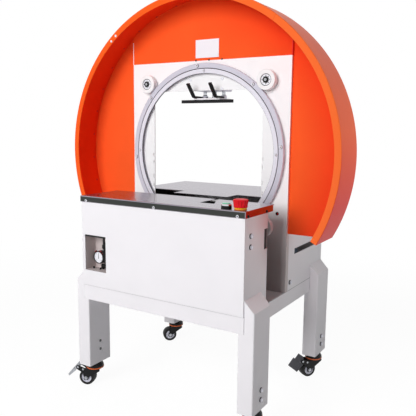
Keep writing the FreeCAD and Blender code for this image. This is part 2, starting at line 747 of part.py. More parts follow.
def make_ring():
    """The wrapping ring: an outer race with a stepped seat, and an inner band screwed to it."""
    step = S.ring_front + S.ring_step
    seat = ring_inner + S.ring_seat
    item = turned_on_y("ring_race", 0, ring_level, [
        (ring_radius, S.ring_front), (ring_radius, ring_back), (seat, ring_back),
        (seat, step), (ring_groove, step), (ring_groove, S.ring_front)])
    keep(item, "ring_outer")
    band = ring_groove - S.ring_band_gap
    item = turned_on_y("ring_band", 0, ring_level, [
        (ring_inner, S.ring_front), (band, S.ring_front), (band, step), (ring_inner, step)])
    keep(item, "ring_inner")
    bolts = []
    for count, circle, start, radius, height in (
            (8, ring_radius - S.ring_bolt_inset, S.ring_bolt_start_angle, S.ring_bolt_radius,
             S.ring_bolt_height),
            (4, ring_radius - S.ring_screw_inset, 0, S.ring_screw_radius,
             S.ring_screw_height)):
        for index in range(count):
            angle = start + index * 360 / count
            bolts.append(rod("ring_bolt", "y", circle * cosine(angle), S.ring_front - height,
                             ring_level + circle * sine(angle), radius, height))
    group("ring_bolts", bolts)


def make_rollers():
    """Four rollers round the ring. Three turn on fixed pins, the fourth on the drive shaft."""
    hub = S.roller_front + S.roller_recess
    gap = S.swivel_gap
    head_back = hub - gap
    collar = roller_back + gap
    bevel = S.roller_bevel
    mounts = []
    for name, x, z in roller_places():
        driven = name == "lower_right"
        bore = S.pin_radius if driven else S.pin_radius + S.running_fit
        item = turned_on_y("roller", x, z, [
            (bore, hub), (S.roller_bearing_radius, hub), (S.roller_bearing_radius, S.roller_front),
            (S.roller_radius - bevel, S.roller_front), (S.roller_radius, S.roller_front + bevel),
            (S.roller_radius, roller_back - bevel), (S.roller_radius - bevel, roller_back),
            (bore, roller_back)])
        keep(item, "roller_" + name)
        if driven:
            item = turned_on_y("shaft", x, z, [
                (0, hub - S.pin_head_height), (S.pin_head_radius, hub - S.pin_head_height),
                (S.pin_head_radius, hub), (S.pin_radius, hub), (S.pin_radius, S.shaft_back),
                (0, S.shaft_back)])
            keep(item, "drive_shaft")
            bore = S.pin_radius + S.running_fit
            mounts.append(turned_on_y("housing", x, z, [
                (bore, panel_back), (S.housing_radius, panel_back),
                (S.housing_radius, panel_back + S.housing_length),
                (bore, panel_back + S.housing_length)]))
        else:
            mounts.append(turned_on_y("pin", x, z, [
                (0, head_back - S.pin_head_height), (S.pin_head_radius, head_back - S.pin_head_height),
                (S.pin_head_radius, head_back), (S.pin_radius, head_back), (S.pin_radius, collar),
                (S.pin_collar_radius, collar), (S.pin_collar_radius, S.panel_front),
                (S.pin_radius, S.panel_front), (S.pin_radius, panel_back + S.pin_nut_length),
                (0, panel_back + S.pin_nut_length)]))
    group("roller_mounts", mounts)


def loop_solid(name, x, low, high, radius, front, width):
    """Two discs joined by a block: the outline of a belt round two equal pulleys."""
    ends = [rod(name + "_end", "y", x, front, z, radius, width) for z in (low, high)]
    middle = box(name + "_run", x - radius, x + radius, front, front + width, low, high)
    return joined(name, ends + [middle])


def make_drive():
    """Pulley, belt, gear motor and motor pulley in the rear cabinet."""
    x = roller_reach
    high = ring_level - roller_reach
    low = deck + S.motor_rise
    front = S.pulley_front
    back = front + S.pulley_width
    item = turned_on_y("pulley", x, high, [
        (S.pin_radius, front), (S.pulley_radius, front), (S.pulley_radius, back),
        (S.pin_radius, back)])
    keep(item, "drive_pulley")
    item = turned_on_y("small_pulley", x, low, [
        (0, front), (S.pulley_radius, front), (S.pulley_radius, back),
        (S.motor_shaft_radius, back), (S.motor_shaft_radius, S.motor_front - S.swivel_gap),
        (0, S.motor_front - S.swivel_gap)])
    keep(item, "motor_pulley")
    inner = S.pulley_radius + S.belt_gap
    start = front + (S.pulley_width - S.belt_width) / 2
    belt = less("belt", loop_solid("belt_outside", x, low, high, inner + S.belt_thickness, start,
                                   S.belt_width),
                loop_solid("belt_inside", x, low, high, inner, start, S.belt_width))
    keep(belt, "drive_belt")
    case = rod("motor_case", "y", x, S.motor_front, low, S.motor_radius, S.motor_length)
    half = S.motor_foot_width / 2
    foot = box("motor_foot", x - half, x + half, S.motor_front + S.motor_foot_inset,
               S.motor_front + S.motor_length - S.motor_foot_inset, deck + S.cabinet_sheet, low)
    keep(joined("motor_set", [case, foot]), "motor")


def make_carriage():
    """The film carriage, parked at the ring's lowest point."""
    back = S.ring_front - S.carriage_standoff
    front = back - S.carriage_sheet
    half = S.carriage_width / 2
    item = new_body("carriage")
    plate_xz(item, front, back, rect(-half, half, deck + S.carriage_clearance,
                                     ring_level - ring_radius + S.carriage_inset))
    post_level = ring_level - ring_radius + S.post_inset
    plate_xz(item, back, S.ring_front, (-S.post_place, post_level, S.post_radius),
             (S.post_place, post_level, S.post_radius))
    keep(item, "carriage_plate")
    level = deck + S.film_rise
    film_back = front - S.film_side_gap
    film_front = film_back - S.film_width
    cap = film_front - S.film_side_gap - S.spindle_cap
    item = turned_on_y("spindle", 0, level, [
        (0, cap), (S.spindle_radius + S.spindle_flange, cap),
        (S.spindle_radius + S.spindle_flange, cap + S.spindle_cap),
        (S.spindle_radius, cap + S.spindle_cap), (S.spindle_radius, front), (0, front)])
    keep(item, "film_spindle")
    bore = S.spindle_radius + S.running_fit
    item = turned_on_y("film", 0, level, [
        (bore, film_front), (S.film_radius, film_front), (S.film_radius, film_back),
        (bore, film_back)])
    keep(item, "film_roll")


CASTERS = (("front_left", -1, -1, 200, True), ("front_right", 1, -1, 240, False),
           ("rear_left", -1, 1, 225, False), ("rear_right", 1, 1, 235, True))


def make_casters():
    """Swivel heads with seals, forks with kingpins, wheels, and two brake pedals."""
    head_low = S.caster_height - S.caster_head_height
    seal_low = head_low - S.seal_height
    fork_top = seal_low - S.swivel_gap
    fit = S.running_fit
    bore = S.kingpin_radius + fit
    pin_top = S.caster_height - S.kingpin_gap
    hang = S.wheel_width / 2 + S.fork_side_gap
    eye = S.fork_eye
    trail = S.caster_trail
    axle = S.wheel_radius
    crown_low = fork_top - S.fork_crown
    cheek_top = fork_top - S.fork_crown_drop
    pivot_x = S.pedal_pivot_reach
    pivot_z = S.pedal_pivot_height
    grip = S.pedal_pin_radius * 2
    heads = []
    for name, side, end, heading, braked in CASTERS:
        x = side * swivel_x
        y = end * swivel_y
        heads.append(turned_on_z("head", x, y, [
            (bore, head_low), (S.caster_head_radius, head_low),
            (S.caster_head_radius, S.caster_height), (bore, S.caster_height)]))
        heads.append(turned_on_z("seal", x, y, [
            (bore, seal_low), (S.seal_radius, seal_low), (S.seal_radius, head_low),
            (bore, head_low)]))
        fork = new_body("fork", x, y, 0, (0, 0, 1), heading)
        cheek = [(-S.fork_crown_radius, cheek_top), (-S.fork_crown_radius, crown_low),
                 (trail - eye, axle), (trail - eye, axle - eye), (trail + eye, axle - eye),
                 (trail + eye, axle)]
        if braked:
            cheek += [(trail + eye + S.fork_web, pivot_z - grip * 3),
                      (pivot_x + grip, pivot_z - grip), (pivot_x + grip, pivot_z + grip * 0.8),
                      (pivot_x - grip, pivot_z + grip * 0.8),
                      (S.caster_head_radius + S.fork_crown_drop, cheek_top)]
            hole = [(pivot_x, pivot_z, S.pedal_pin_radius + fit)]
        else:
            cheek += [(S.fork_crown_radius, cheek_top)]
            hole = []
        for near in (-hang - S.fork_sheet, hang):
            plate_xz(fork, near, near + S.fork_sheet, cheek, *hole)
        plate_xy(fork, crown_low, fork_top, (0, 0, S.fork_crown_radius))
        plate_xy(fork, fork_top, pin_top, (0, 0, S.kingpin_radius))
        plate_xz(fork, -hang - S.fork_sheet - S.axle_end, hang + S.fork_sheet + S.axle_end,
                 (trail, axle, S.axle_radius))
        keep(fork, "fork_" + name)
        wheel = new_body("wheel", x + trail * cosine(heading), y + trail * sine(heading), axle,
                         (0, 0, 1), heading)
        half = S.wheel_width / 2
        corner = S.wheel_corner
        hole_radius = S.axle_radius + fit
        turned(wheel, "XY_Plane", "Y_Axis", [
            (hole_radius, -half), (S.wheel_radius - corner, -half), (S.wheel_radius, corner - half),
            (S.wheel_radius, half - corner), (S.wheel_radius - corner, half), (hole_radius, half)])
        keep(wheel, "wheel_" + name)
        if braked:
            pedal = new_body("pedal", x, y, 0, (0, 0, 1), heading)
            plate_xz(pedal, -hang - S.fork_sheet, hang + S.fork_sheet,
                     (pivot_x, pivot_z, S.pedal_pin_radius))
            thick = S.pedal_sheet
            top = (pivot_x - S.pedal_back, pivot_z + S.pedal_top)
            tip = (pivot_x + S.pedal_reach, pivot_z - S.pedal_drop)
            slope = (S.pedal_top + S.pedal_drop) / (S.pedal_back + S.pedal_reach)
            bend = (pivot_x + S.pedal_neck,
                    pivot_z + S.pedal_top - (S.pedal_neck + S.pedal_back) * slope)
            inner = hang - S.pedal_gap
            wide = S.pedal_width / 2
            for half, start, end in ((inner, top, bend), (wide, bend, tip)):
                plate_xz(pedal, -half, half, [start, end, (end[0] + thick, end[1] + thick),
                                              (start[0] + thick, start[1] + thick)])
            for near in (-inner, inner - thick):
                plate_xz(pedal, near, near + thick, [
                    top, bend, (pivot_x + grip * 0.7, pivot_z - grip * 0.7),
                    (pivot_x - grip * 0.7, pivot_z - grip * 0.7)])
            keep(pedal, "pedal_" + name)
    group("caster_heads", heads)


def make_fasteners():
    """Screws, bolts and rivets that show from outside."""
    items = []
    height = S.screw_height
    radius = S.screw_radius
    screw_level = lip_bottom + S.lip_screw_rise
    screw_end = table_half - S.lip_screw_side
    for x in (-screw_end, S.lip_screw_middle, screw_end):
        items.append(rod("lip_screw", "y", x, table_front - height, screw_level, radius, height))
        items.append(rod("rear_screw", "y", x, -table_front, screw_level, radius, height))
    for y in (table_front + S.side_screw_front, table_rear - S.side_screw_back):
        items.append(rod("side_screw", "x", table_half, y, screw_level, radius, height))
        items.append(rod("side_screw", "x", -table_half - height, y, screw_level, radius, height))
    leg_low = S.caster_height + S.leg_bolt_rise
    cabinet_high = S.table_height - S.cabinet_bolt_drop
    for side in (-1, 1):
        for level in (opening_top + S.press_screw_rise,
                      opening_top + S.press_screw_rise + S.press_screw_spacing):
            items.append(rod("press_screw", "y", side * S.press_screw_place,
                             S.panel_front - height, level, S.press_screw_radius, height))
        for end in (-1, 1):
            for level in (leg_low, leg_low + S.leg_bolt_spacing):
                start = leg_outer if side > 0 else -leg_outer - S.bolt_height
                items.append(rod("leg_bolt", "x", start, end * swivel_y, level,
                                 S.bolt_radius, S.bolt_height))
                start = leg_inner - height if side > 0 else -leg_inner
                items.append(rod("leg_screw", "x", start, end * swivel_y,
                                 level + S.inner_bolt_shift, radius, height))
        for level in (cabinet_high, cabinet_high - S.cabinet_bolt_spacing):
            start = half_frame if side > 0 else -half_frame - S.bolt_height
            items.append(rod("cabinet_bolt", "x", start, cabinet_front + S.cabinet_bolt_setback,
                             level, S.bolt_radius, S.bolt_height))
        items.append(rod("rear_bolt", "x", start, flange_back + S.rear_bolt_setback,
                         deck + S.rear_bolt_rise, S.bolt_radius, S.bolt_height))
    for angle in (S.hood_joint_angle - S.hood_screw_angle,
                  S.hood_joint_angle + S.hood_screw_angle):
        spot = S.hood_radius - S.hood_screw_inset
        items.append(rod("lip_joint_screw", "y", spot * cosine(angle), S.hood_front - height,
                         hood_level + spot * sine(angle), radius, height))
    # A rivet's flat end just clears the curved sheet all round its rim.
    seat = hood_inside - S.rivet_radius * S.rivet_radius / hood_inside
    for index in range(23):
        angle = S.rivet_first_angle + index * S.rivet_step_angle
        item = doc.addObject("Part::Cylinder", "rivet")
        item.Placement = Placement(Vector(), Rotation(Vector(0, 1, 0), 90 - num(angle)))
        bind(item, "Placement.Rotation.Angle", 90 - angle)
        bind(item, "Radius", S.rivet_radius)
        bind(item, "Height", S.rivet_height)
        foot = seat - S.rivet_height
        place(item, foot * cosine(angle), back_plate_front - S.rivet_setback,
              hood_level + foot * sine(angle))
        items.append(item)
    group("fasteners", items)


make_legs()
make_frame()
make_front_cabinet()
make_air_set()
make_tables()
make_upright_panel()
make_hood()
make_rear_cabinet()
make_controls()
make_press()
make_ring()
make_rollers()
make_drive()
make_carriage()
make_casters()
make_fasteners()
doc.recompute()

for item in doc.Objects:
    if "Invalid" in item.State or "Error" in item.State:
        raise RuntimeError(f"{item.Name}: {item.State}")
for item in parts:
    if item.Shape.isNull() or not item.Shape.isValid():
        raise RuntimeError(f"{item.Label}: the shape is null or not valid")

os.makedirs("parts", exist_ok=True)
for item in parts:
    item.Shape.exportStep(f"parts/{item.Label}.step")
print(len(parts), "parts written")
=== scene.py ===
"""Looks of an orbital film wrapper: a white machine with a round orange hood on casters.

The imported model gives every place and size. This script adds finishes, and detailed pieces
that stand for the plain nodes. Lengths are metres.
"""
import json
import math

import bpy
import numpy as np
from mathutils import Matrix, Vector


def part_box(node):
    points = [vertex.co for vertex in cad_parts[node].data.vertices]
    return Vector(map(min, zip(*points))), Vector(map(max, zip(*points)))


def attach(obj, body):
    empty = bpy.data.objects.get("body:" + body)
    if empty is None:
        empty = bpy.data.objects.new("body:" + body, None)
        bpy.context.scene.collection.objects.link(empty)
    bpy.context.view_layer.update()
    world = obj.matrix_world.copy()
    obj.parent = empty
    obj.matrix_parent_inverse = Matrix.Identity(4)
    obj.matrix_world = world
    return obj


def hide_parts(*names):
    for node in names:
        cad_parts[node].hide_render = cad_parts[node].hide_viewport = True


bl_info = {
    "name": "Film Wrapper Looks",
    "version": (1, 0, 0),
    "blender": (4, 5, 0),
    "location": "View3D > Sidebar > Wrapper",
    "description": "Finishes and detailed pieces of an orbital film wrapper",
    "category": "Object",
}

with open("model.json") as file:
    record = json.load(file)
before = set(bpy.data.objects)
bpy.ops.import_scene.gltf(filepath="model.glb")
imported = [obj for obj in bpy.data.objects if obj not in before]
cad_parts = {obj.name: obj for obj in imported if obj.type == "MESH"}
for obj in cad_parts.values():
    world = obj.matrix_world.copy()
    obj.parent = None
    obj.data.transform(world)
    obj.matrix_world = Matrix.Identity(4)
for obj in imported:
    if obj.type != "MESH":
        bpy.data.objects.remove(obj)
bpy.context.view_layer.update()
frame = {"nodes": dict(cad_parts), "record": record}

# For each axis, the two coordinates across it and the one along it.
AXES = {"x": (1, 2, 0), "y": (0, 2, 1), "z": (0, 1, 2)}
X_WAY, Y_WAY = np.array([1.0, 0, 0]), np.array([0, 1.0, 0])
CORNERS = ("upper_left", "upper_right", "lower_left", "lower_right")
CASTERS = ("front_left", "front_right", "rear_left", "rear_right")

ARC_SHARE = 0.45                        # the most of a side that a corner's arc takes
STRAIGHT = math.radians(89)             # half a corner that is too flat for an arc
MITRE_LIMIT = 0.3                       # the least cosine that an inset corner works with
OFF_AXIS = np.array([0.31, 0.87, 0.39])  # a way that no tube runs along
SHARP_ANGLE = math.radians(32)          # edges bent further than this are shaded sharp
HEAD_STEPS = 48                         # columns of a screw head
ROOT = 0.0003                           # how far a head goes into its seat
PLUG_ROOT = 0.0002                      # how far a socket's floor or a seat goes in
POINTS_PER_METRE = 1e5                  # corners nearer than this grid's step are one
NOISE_RANGE = (0.3, 0.7)                # the values that noise mostly covers
ALONG = 0.9                             # an axis with more than this share of X runs along X


# ---------------------------------------------------------------- measuring the frame

def low_high(node):
    """The lowest and highest corner of a node, as arrays."""
    low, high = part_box(node)
    return np.array(low), np.array(high)


def middle(node):
    """The middle of a node's box."""
    low, high = low_high(node)
    return (low + high) / 2


def round_box(node, axis):
    """A round node's middle with no height along its axis, its radius, and its two ends."""
    low, high = low_high(node)
    along = AXES[axis][2]
    place = (low + high) / 2
    place[along] = 0
    return place, (high[0] - low[0]) / 2, low[along], high[along]


def node_points(node):
    """The corners of a node's mesh, as an array of places."""
    mesh = frame["nodes"][node].data
    flat = np.empty(len(mesh.vertices) * 3, np.float32)
    mesh.vertices.foreach_get("co", flat)
    return flat.reshape(-1, 3).astype(float)


def nearest_to_axis(node, centre):
    """The least distance of a node's corners from an axis along Y."""
    points = node_points(node)
    return np.hypot(points[:, 0], points[:, 2] - centre[2]).min()


def loose_parts(node):
    """The points of each separate solid of a node.

    Every point starts with a label of its own. The two ends of each edge take the lower of
    their labels, until none changes.
    """
    mesh = frame["nodes"][node].data
    on_grid = np.round(node_points(node) * POINTS_PER_METRE).astype(np.int64)
    spots, index = np.unique(on_grid, axis=0, return_inverse=True)
    ends = np.empty(len(mesh.edges) * 2, np.int32)
    mesh.edges.foreach_get("vertices", ends)
    ends = index.reshape(-1)[ends].reshape(-1, 2)
    label = np.arange(len(spots))
    while True:
        low = np.minimum(label[ends[:, 0]], label[ends[:, 1]])
        fresh = label.copy()
        np.minimum.at(fresh, ends[:, 0], low)
        np.minimum.at(fresh, ends[:, 1], low)
        fresh = fresh[fresh]
        if (fresh == label).all():
            break
        label = fresh
    return [spots[label == value] / POINTS_PER_METRE for value in np.unique(label)]


def round_facts(points):
    """Centre, axis, radius and height of a flat round solid: it spreads least along its axis."""
    centre = (points.min(0) + points.max(0)) / 2
    ways = np.linalg.eigh(np.cov((points - centre).T))[1]
    axis = ways[:, 0]
    along = (points - centre) @ axis
    across = points - centre - along[:, None] * axis
    return centre, axis, np.linalg.norm(across, axis=1).max(), np.ptp(along)


def hood_measures():
    """The hood's centre, its outer radius, its lip's inner radius, and its front and back."""
    low, high = low_high("hood_left")
    radius = -low[0]
    centre = np.array([0.0, 0.0, low_high("hood_top")[1][2] - radius])
    return centre, radius, nearest_to_axis("hood_top", centre), low[1], high[1]


def span_round(node, centre):
    """The lowest and highest angle that a node covers round an axis along Y."""
    points = node_points(node)
    angle = np.degrees(np.arctan2(points[:, 2] - centre[2], points[:, 0]))
    angle = np.where(angle < -90, angle + 360, angle)
    return angle.min(), angle.max()


def node_facts():
    """For each node its body and its material slot, as the record gives them."""
    record = frame["record"]
    bodies = {node: body for body, nodes in record["behaviour"]["bodies"].items()
              for node in nodes}
    slots = {part["node"]: part["material_slot"] for part in record["subparts"]}
    return bodies, slots


body_of_node, slot_of_node = node_facts()


# ---------------------------------------------------------------- surfaces

def grid_faces(rows, columns, wrap_rows, wrap_columns):
    """Quads of a grid's neighbours. A point's index is its row times the columns + its column."""
    row = np.arange(rows if wrap_rows else rows - 1)[:, None]
    column = np.arange(columns if wrap_columns else columns - 1)[None, :]
    next_row = (row + 1) % rows
    next_column = (column + 1) % columns
    corners = [row * columns + column, row * columns + next_column,
               next_row * columns + next_column, next_row * columns + column]
    return np.stack(np.broadcast_arrays(*corners), -1).reshape(-1, 4)


def outward(points, faces):
    """Turns all faces round if the closed shell's signed volume is negative.

    The volume is the sum of the triple products of the faces' triangles.
    """
    fans = np.array([(face[0], face[i], face[i + 1])
                     for face in faces for i in range(1, len(face) - 1)])
    a, b, c = (points[fans[:, i]] - points.mean(0) for i in range(3))
    if np.einsum("ij,ij->i", a, np.cross(b, c)).sum() < 0:
        faces = [tuple(reversed(face)) for face in faces]
    return points, faces


def lofted(sections):
    """A closed shell: each row of the grid is a section, with a flat cap at each end."""
    rows, columns = sections.shape[:2]
    faces = [tuple(face) for face in grid_faces(rows, columns, False, True).tolist()]
    faces.append(tuple(range(columns)))
    faces.append(tuple(range((rows - 1) * columns, rows * columns)))
    return outward(sections.reshape(-1, 3), faces)


def placed(first, second, along, axis):
    """Points from two coordinates across an axis and one along it."""
    one, two, three = AXES[axis]
    points = np.empty(np.broadcast(first, second, along).shape + (3,))
    points[..., one] = first
    points[..., two] = second
    points[..., three] = along
    return points


def revolved(profile, centre, axis, start=0.0, end=360.0, steps=96):
    """A profile of (radius, place along the axis) carried round the axis.

    A point is the centre plus the radius times the cosine and the sine of the angle. A profile
    that starts and ends on the axis gets a pole at each end. A part turn is capped.
    """
    profile = np.asarray(profile, float)
    full = abs(end - start - 360.0) < 1e-6
    angle = np.radians(np.linspace(start, end, steps + (0 if full else 1), endpoint=not full))
    poles = full and profile[0, 0] == 0 and profile[-1, 0] == 0
    ring = profile[1:-1] if poles else profile
    one, two, three = AXES[axis]
    first = centre[one] + np.cos(angle)[:, None] * ring[None, :, 0]
    second = centre[two] + np.sin(angle)[:, None] * ring[None, :, 0]
    along = centre[three] + np.broadcast_to(ring[None, :, 1], first.shape)
    points = placed(first, second, along, axis)
    rows, columns = points.shape[:2]
    if not full:
        return lofted(points)
    faces = [tuple(face) for face in grid_faces(rows, columns, True, not poles).tolist()]
    points = points.reshape(-1, 3)
    if poles:
        ends = placed(np.full(2, centre[one]), np.full(2, centre[two]),
                      centre[three] + profile[[0, -1], 1], axis)
        for pole, column in ((rows * columns, 0), (rows * columns + 1, columns - 1)):
            turn = 1 if column else -1
            for row in range(rows):
                pair = (row * columns + column, (row + 1) % rows * columns + column)
                faces.append((pole,) + pair[::turn])
        points = np.vstack([points, ends])
    return outward(points, faces)


def rounded(points, radius, steps=4, closed=True):
    """An outline whose corners become arcs that touch both neighbouring sides.

    An arc's centre lies on the corner's bisector, at the radius over the sine of half the
    corner. One radius serves all corners, or each corner has its own.
    """
    points = np.asarray(points, float)
    count = len(points)
    radii = np.broadcast_to(np.asarray(radius, float), (count,))
    result = []
    for i, corner in enumerate(points):
        if radii[i] <= 0 or (not closed and i in (0, count - 1)):
            result.append(corner[None])
            continue
        back = points[i - 1] - corner
        ahead = points[(i + 1) % count] - corner
        reach = np.linalg.norm(back), np.linalg.norm(ahead)
        back, ahead = back / reach[0], ahead / reach[1]
        half = math.acos(float(np.clip(back @ ahead, -1, 1))) / 2
        if half > STRAIGHT:
            result.append(corner[None])
            continue
        run = min(radii[i] / math.tan(half), ARC_SHARE * min(reach))
        size = run * math.tan(half)
        bisector = (back + ahead) / np.linalg.norm(back + ahead)
        centre = corner + bisector * size / math.sin(half)
        first, last = corner + back * run - centre, corner + ahead * run - centre
        swing = math.atan2(first[0] * last[1] - first[1] * last[0], first @ last)
        turn = np.linspace(0, swing, steps + 1)
        result.append(centre + np.stack([
            first[0] * np.cos(turn) - first[1] * np.sin(turn),
            first[0] * np.sin(turn) + first[1] * np.cos(turn)], -1))
    return np.vstack(result)


def turned(corners, radii, place, axis, steps=64, closed=True):
    """A full turn of an outline with rounded corners. An open one starts and ends on the axis."""
    return revolved(rounded(corners, radii, 4, closed), place, axis, steps=steps)


def collar(inner, outer, low, high, radii, place, axis, steps=64):
    """A full turn of a rectangle, with a radius for each corner from the inner low one on."""
    corners = [(inner, low), (outer, low), (outer, high), (inner, high)]
    return turned(corners, radii, place, axis, steps)


def inset(outline, distance):
    """A closed outline moved inwards.

    Each point goes along the mean of its two sides' normals, by the distance over that mean's
    share along the first.
    """
    before = outline - np.roll(outline, 1, 0)
    after = np.roll(outline, -1, 0) - outline
    normals = []
    for side in (before, after):
        side = side / np.maximum(np.linalg.norm(side, axis=1, keepdims=True), 1e-12)
        normals.append(np.stack([-side[:, 1], side[:, 0]], -1))
    mean = normals[0] + normals[1]
    mean = mean / np.maximum((mean * normals[0]).sum(1, keepdims=True), MITRE_LIMIT)
    area = (outline[:, 0] * np.roll(outline[:, 1], -1)
            - np.roll(outline[:, 0], -1) * outline[:, 1]).sum()
    return outline + mean * distance * (1 if area > 0 else -1)


def prism(outline, axis, low, high, edge=0.0, steps=3):
    """An outline carried straight along an axis, its two rims rounded by quarter circles.

    At the angle t of a rim it is inset by the edge times (1 - sin t), and lies the edge times
    (1 - cos t) inside the end.
    """
    outline = np.asarray(outline, float)
    if edge <= 0:
        return lofted(np.stack([placed(outline[:, 0], outline[:, 1], level, axis)
                                for level in (low, high)]))
    turn = np.linspace(0, math.pi / 2, steps + 1)
    rows = [(edge * (1 - math.sin(t)), low + edge * (1 - math.cos(t))) for t in turn]
    rows += [(edge * (1 - math.sin(t)), high - edge * (1 - math.cos(t))) for t in turn[::-1]]
    sections = []
    for distance, level in rows:
        shape = inset(outline, distance) if distance > 0 else outline
        sections.append(placed(shape[:, 0], shape[:, 1], level, axis))
    return lofted(np.stack(sections))


def rectangle(u0, u1, v0, v1):
    """The four corners of a rectangle, anticlockwise."""
    return np.array([(u0, v0), (u1, v0), (u1, v1), (u0, v1)], float)


def block(low, high, radius=0.0, edge=0.0, axis="y"):
    """A block with rounded long edges and rims: a rectangle carried along the axis."""
    one, two, three = AXES[axis]
    outline = rectangle(low[one], high[one], low[two], high[two])
    if radius > 0:
        outline = rounded(outline, radius)
    return prism(outline, axis, low[three], high[three], edge)


def bar(centre, radius, low, high, axis, edge=0.0, steps=32):
    """A round bar with rounded rims: a turned rectangle."""
    rim = [(0, low), (radius, low), (radius, high), (0, high)]
    profile = rounded(rim, [0, edge, edge, 0], 3, closed=False)
    place = np.array(centre, float)
    place[AXES[axis][2]] = 0
    return revolved(profile, place, axis, steps=steps)


def swept(path, profile):
    """A profile of (distance to the left, height) carried along a flat path with mitred bends.

    A point is the path's point plus the distance times the mitre: the mean of both sides'
    normals over its share along the first.
    """
    path = np.asarray(path, float)
    side = np.diff(path, axis=0)
    side /= np.linalg.norm(side, axis=1, keepdims=True)
    left = np.stack([-side[:, 1], side[:, 0]], -1)
    before = np.vstack([left[:1], left])
    after = np.vstack([left, left[-1:]])
    mean = (before + after) / 2
    mean /= (mean * before).sum(1, keepdims=True)
    profile = np.asarray(profile, float)
    flat = path[:, None, :] + mean[:, None, :] * profile[None, :, :1]
    height = np.broadcast_to(profile[None, :, 1], flat.shape[:2])
    return lofted(np.concatenate([flat, height[..., None]], -1))


def tube(path, radius, sides=16):
    """A round tube along a path in space.

    A point is the path's point plus the radius times the cosine and the sine of the angle, on
    two directions square to the path's mean direction there.
    """
    path = np.asarray(path, float)
    way = np.gradient(path, axis=0)
    way /= np.linalg.norm(way, axis=1, keepdims=True)
    first = np.cross(way, OFF_AXIS)
    first /= np.linalg.norm(first, axis=1, keepdims=True)
    second = np.cross(way, first)
    angle = np.linspace(0, 2 * math.pi, sides, endpoint=False)
    circle = (np.cos(angle)[None, :, None] * first[:, None, :]
              + np.sin(angle)[None, :, None] * second[:, None, :])
    return lofted(path[:, None, :] + radius * circle)


def fluted(profile, centre, axis, count, steps_per_flute=8):
    """A turned shell whose radius dips in flutes. Profile points are (radius, level, dip).

    At the angle a the radius is less by the dip times the square of (1 + cos(count * a)) / 2.
    """
    profile = np.asarray(profile, float)
    steps = count * steps_per_flute
    angle = np.linspace(0, 2 * math.pi, steps, endpoint=False)
    wave = 0.5 + 0.5 * np.cos(count * angle)
    radius = profile[:, None, 0] - profile[:, None, 2] * wave[None, :] ** 2
    one, two, three = AXES[axis]
    first = centre[one] + radius * np.cos(angle)
    second = centre[two] + radius * np.sin(angle)
    level = centre[three] + np.broadcast_to(profile[:, None, 1], radius.shape)
    return lofted(placed(first, second, level, axis))


def ribbed_strip(path, width, thick, rib_step, depth):
    """A strip along a path in a YZ plane, ribbed across.

    Both sizes of its section are less by the depth on every other half of the rib step.
    """
    path = np.asarray(path, float)
    run = np.concatenate([[0], np.cumsum(np.linalg.norm(np.diff(path, axis=0), axis=1))])
    way = np.gradient(path, run, axis=0)
    way /= np.linalg.norm(way, axis=1, keepdims=True)
    rise = np.cross(X_WAY, way)
    shape = rounded(rectangle(-0.5, 0.5, -0.5, 0.5), 0.18, 3)
    swing = depth * (0.5 + 0.5 * np.sign(np.cos(2 * math.pi * run / rib_step)))
    sections = (path[:, None, :]
                + (width - swing)[:, None, None] * shape[None, :, :1] * X_WAY
                + (thick - swing)[:, None, None] * shape[None, :, 1:] * rise[:, None, :])
    return lofted(sections)


def polygon_share(angle, sides):
    """The radius of a regular polygon of corner radius 1: cos of half a side over cos of the
    angle from that side's middle."""
    turn = angle % (2 * math.pi / sides) - math.pi / sides
    return math.cos(math.pi / sides) / np.cos(turn)


def stacked_rings(rows):
    """A shell on the local +Z through rings of (radius at each angle, level)."""
    angle = np.linspace(0, 2 * math.pi, HEAD_STEPS, endpoint=False)
    return lofted(np.stack([placed(size * np.cos(angle), size * np.sin(angle), level, "z")
                            for size, level in rows]))


def screw_head(radius, height, hole, depth, dome=0.6):
    """A domed head on the local +Z: a wall, a quarter ellipse and a hexagon socket."""
    angle = np.linspace(0, 2 * math.pi, HEAD_STEPS, endpoint=False)
    flat = polygon_share(angle, 6)
    shoulder = height * (1 - dome)
    inner = hole * 1.2
    rows = [(np.full(HEAD_STEPS, radius), -ROOT), (np.full(HEAD_STEPS, radius), shoulder)]
    for turn in np.linspace(0, math.pi / 2, 5)[1:]:
        rows.append((np.full(HEAD_STEPS, inner + (radius - inner) * math.cos(turn)),
                     shoulder + height * dome * math.sin(turn)))
    rows += [(hole * flat, height), (hole * flat, height - depth)]
    return stacked_rings(rows)


def hex_head(radius, height):
    """A hexagon head whose crown is cut by two smaller circles, and its washer, on +Z."""
    angle = np.linspace(0, 2 * math.pi, HEAD_STEPS, endpoint=False)
    crown = 0.82 * radius
    flat = crown * polygon_share(angle, 6)
    head = stacked_rings([(flat, height * 0.3), (flat, height * 0.86),
                          (np.minimum(flat, crown * 0.9), height * 0.97),
                          (np.minimum(flat, crown * 0.84), height)])
    washer = bar((0, 0, 0), radius, -ROOT, height * 0.32, "z", height * 0.08)
    return head, washer


def moved(shell, matrix, shift):
    """A shell turned by a matrix and then shifted."""
    points, faces = shell
    return outward(points @ np.asarray(matrix, float).T + np.asarray(shift, float), faces)


def turn_matrix(degrees):
    """The rotation about Z, by the right-hand rule."""
    c, s = math.cos(math.radians(degrees)), math.sin(math.radians(degrees))
    return np.array([[c, -s, 0.0], [s, c, 0.0], [0.0, 0.0, 1.0]])


def facing(direction):
    """The rotation that takes +Z to a direction: its columns are three square ways."""
    way = np.asarray(direction, float)
    way = way / np.linalg.norm(way)
    spare = X_WAY if abs(way[0]) < ALONG else Y_WAY
    first = np.cross(spare, way)
    first /= np.linalg.norm(first)
    return np.stack([first, np.cross(way, first), way], 1)


def seated(shell, way, spot):
    """A shell made on the local +Z, turned to face a way and put on a spot."""
    return moved(shell, facing(way), spot)


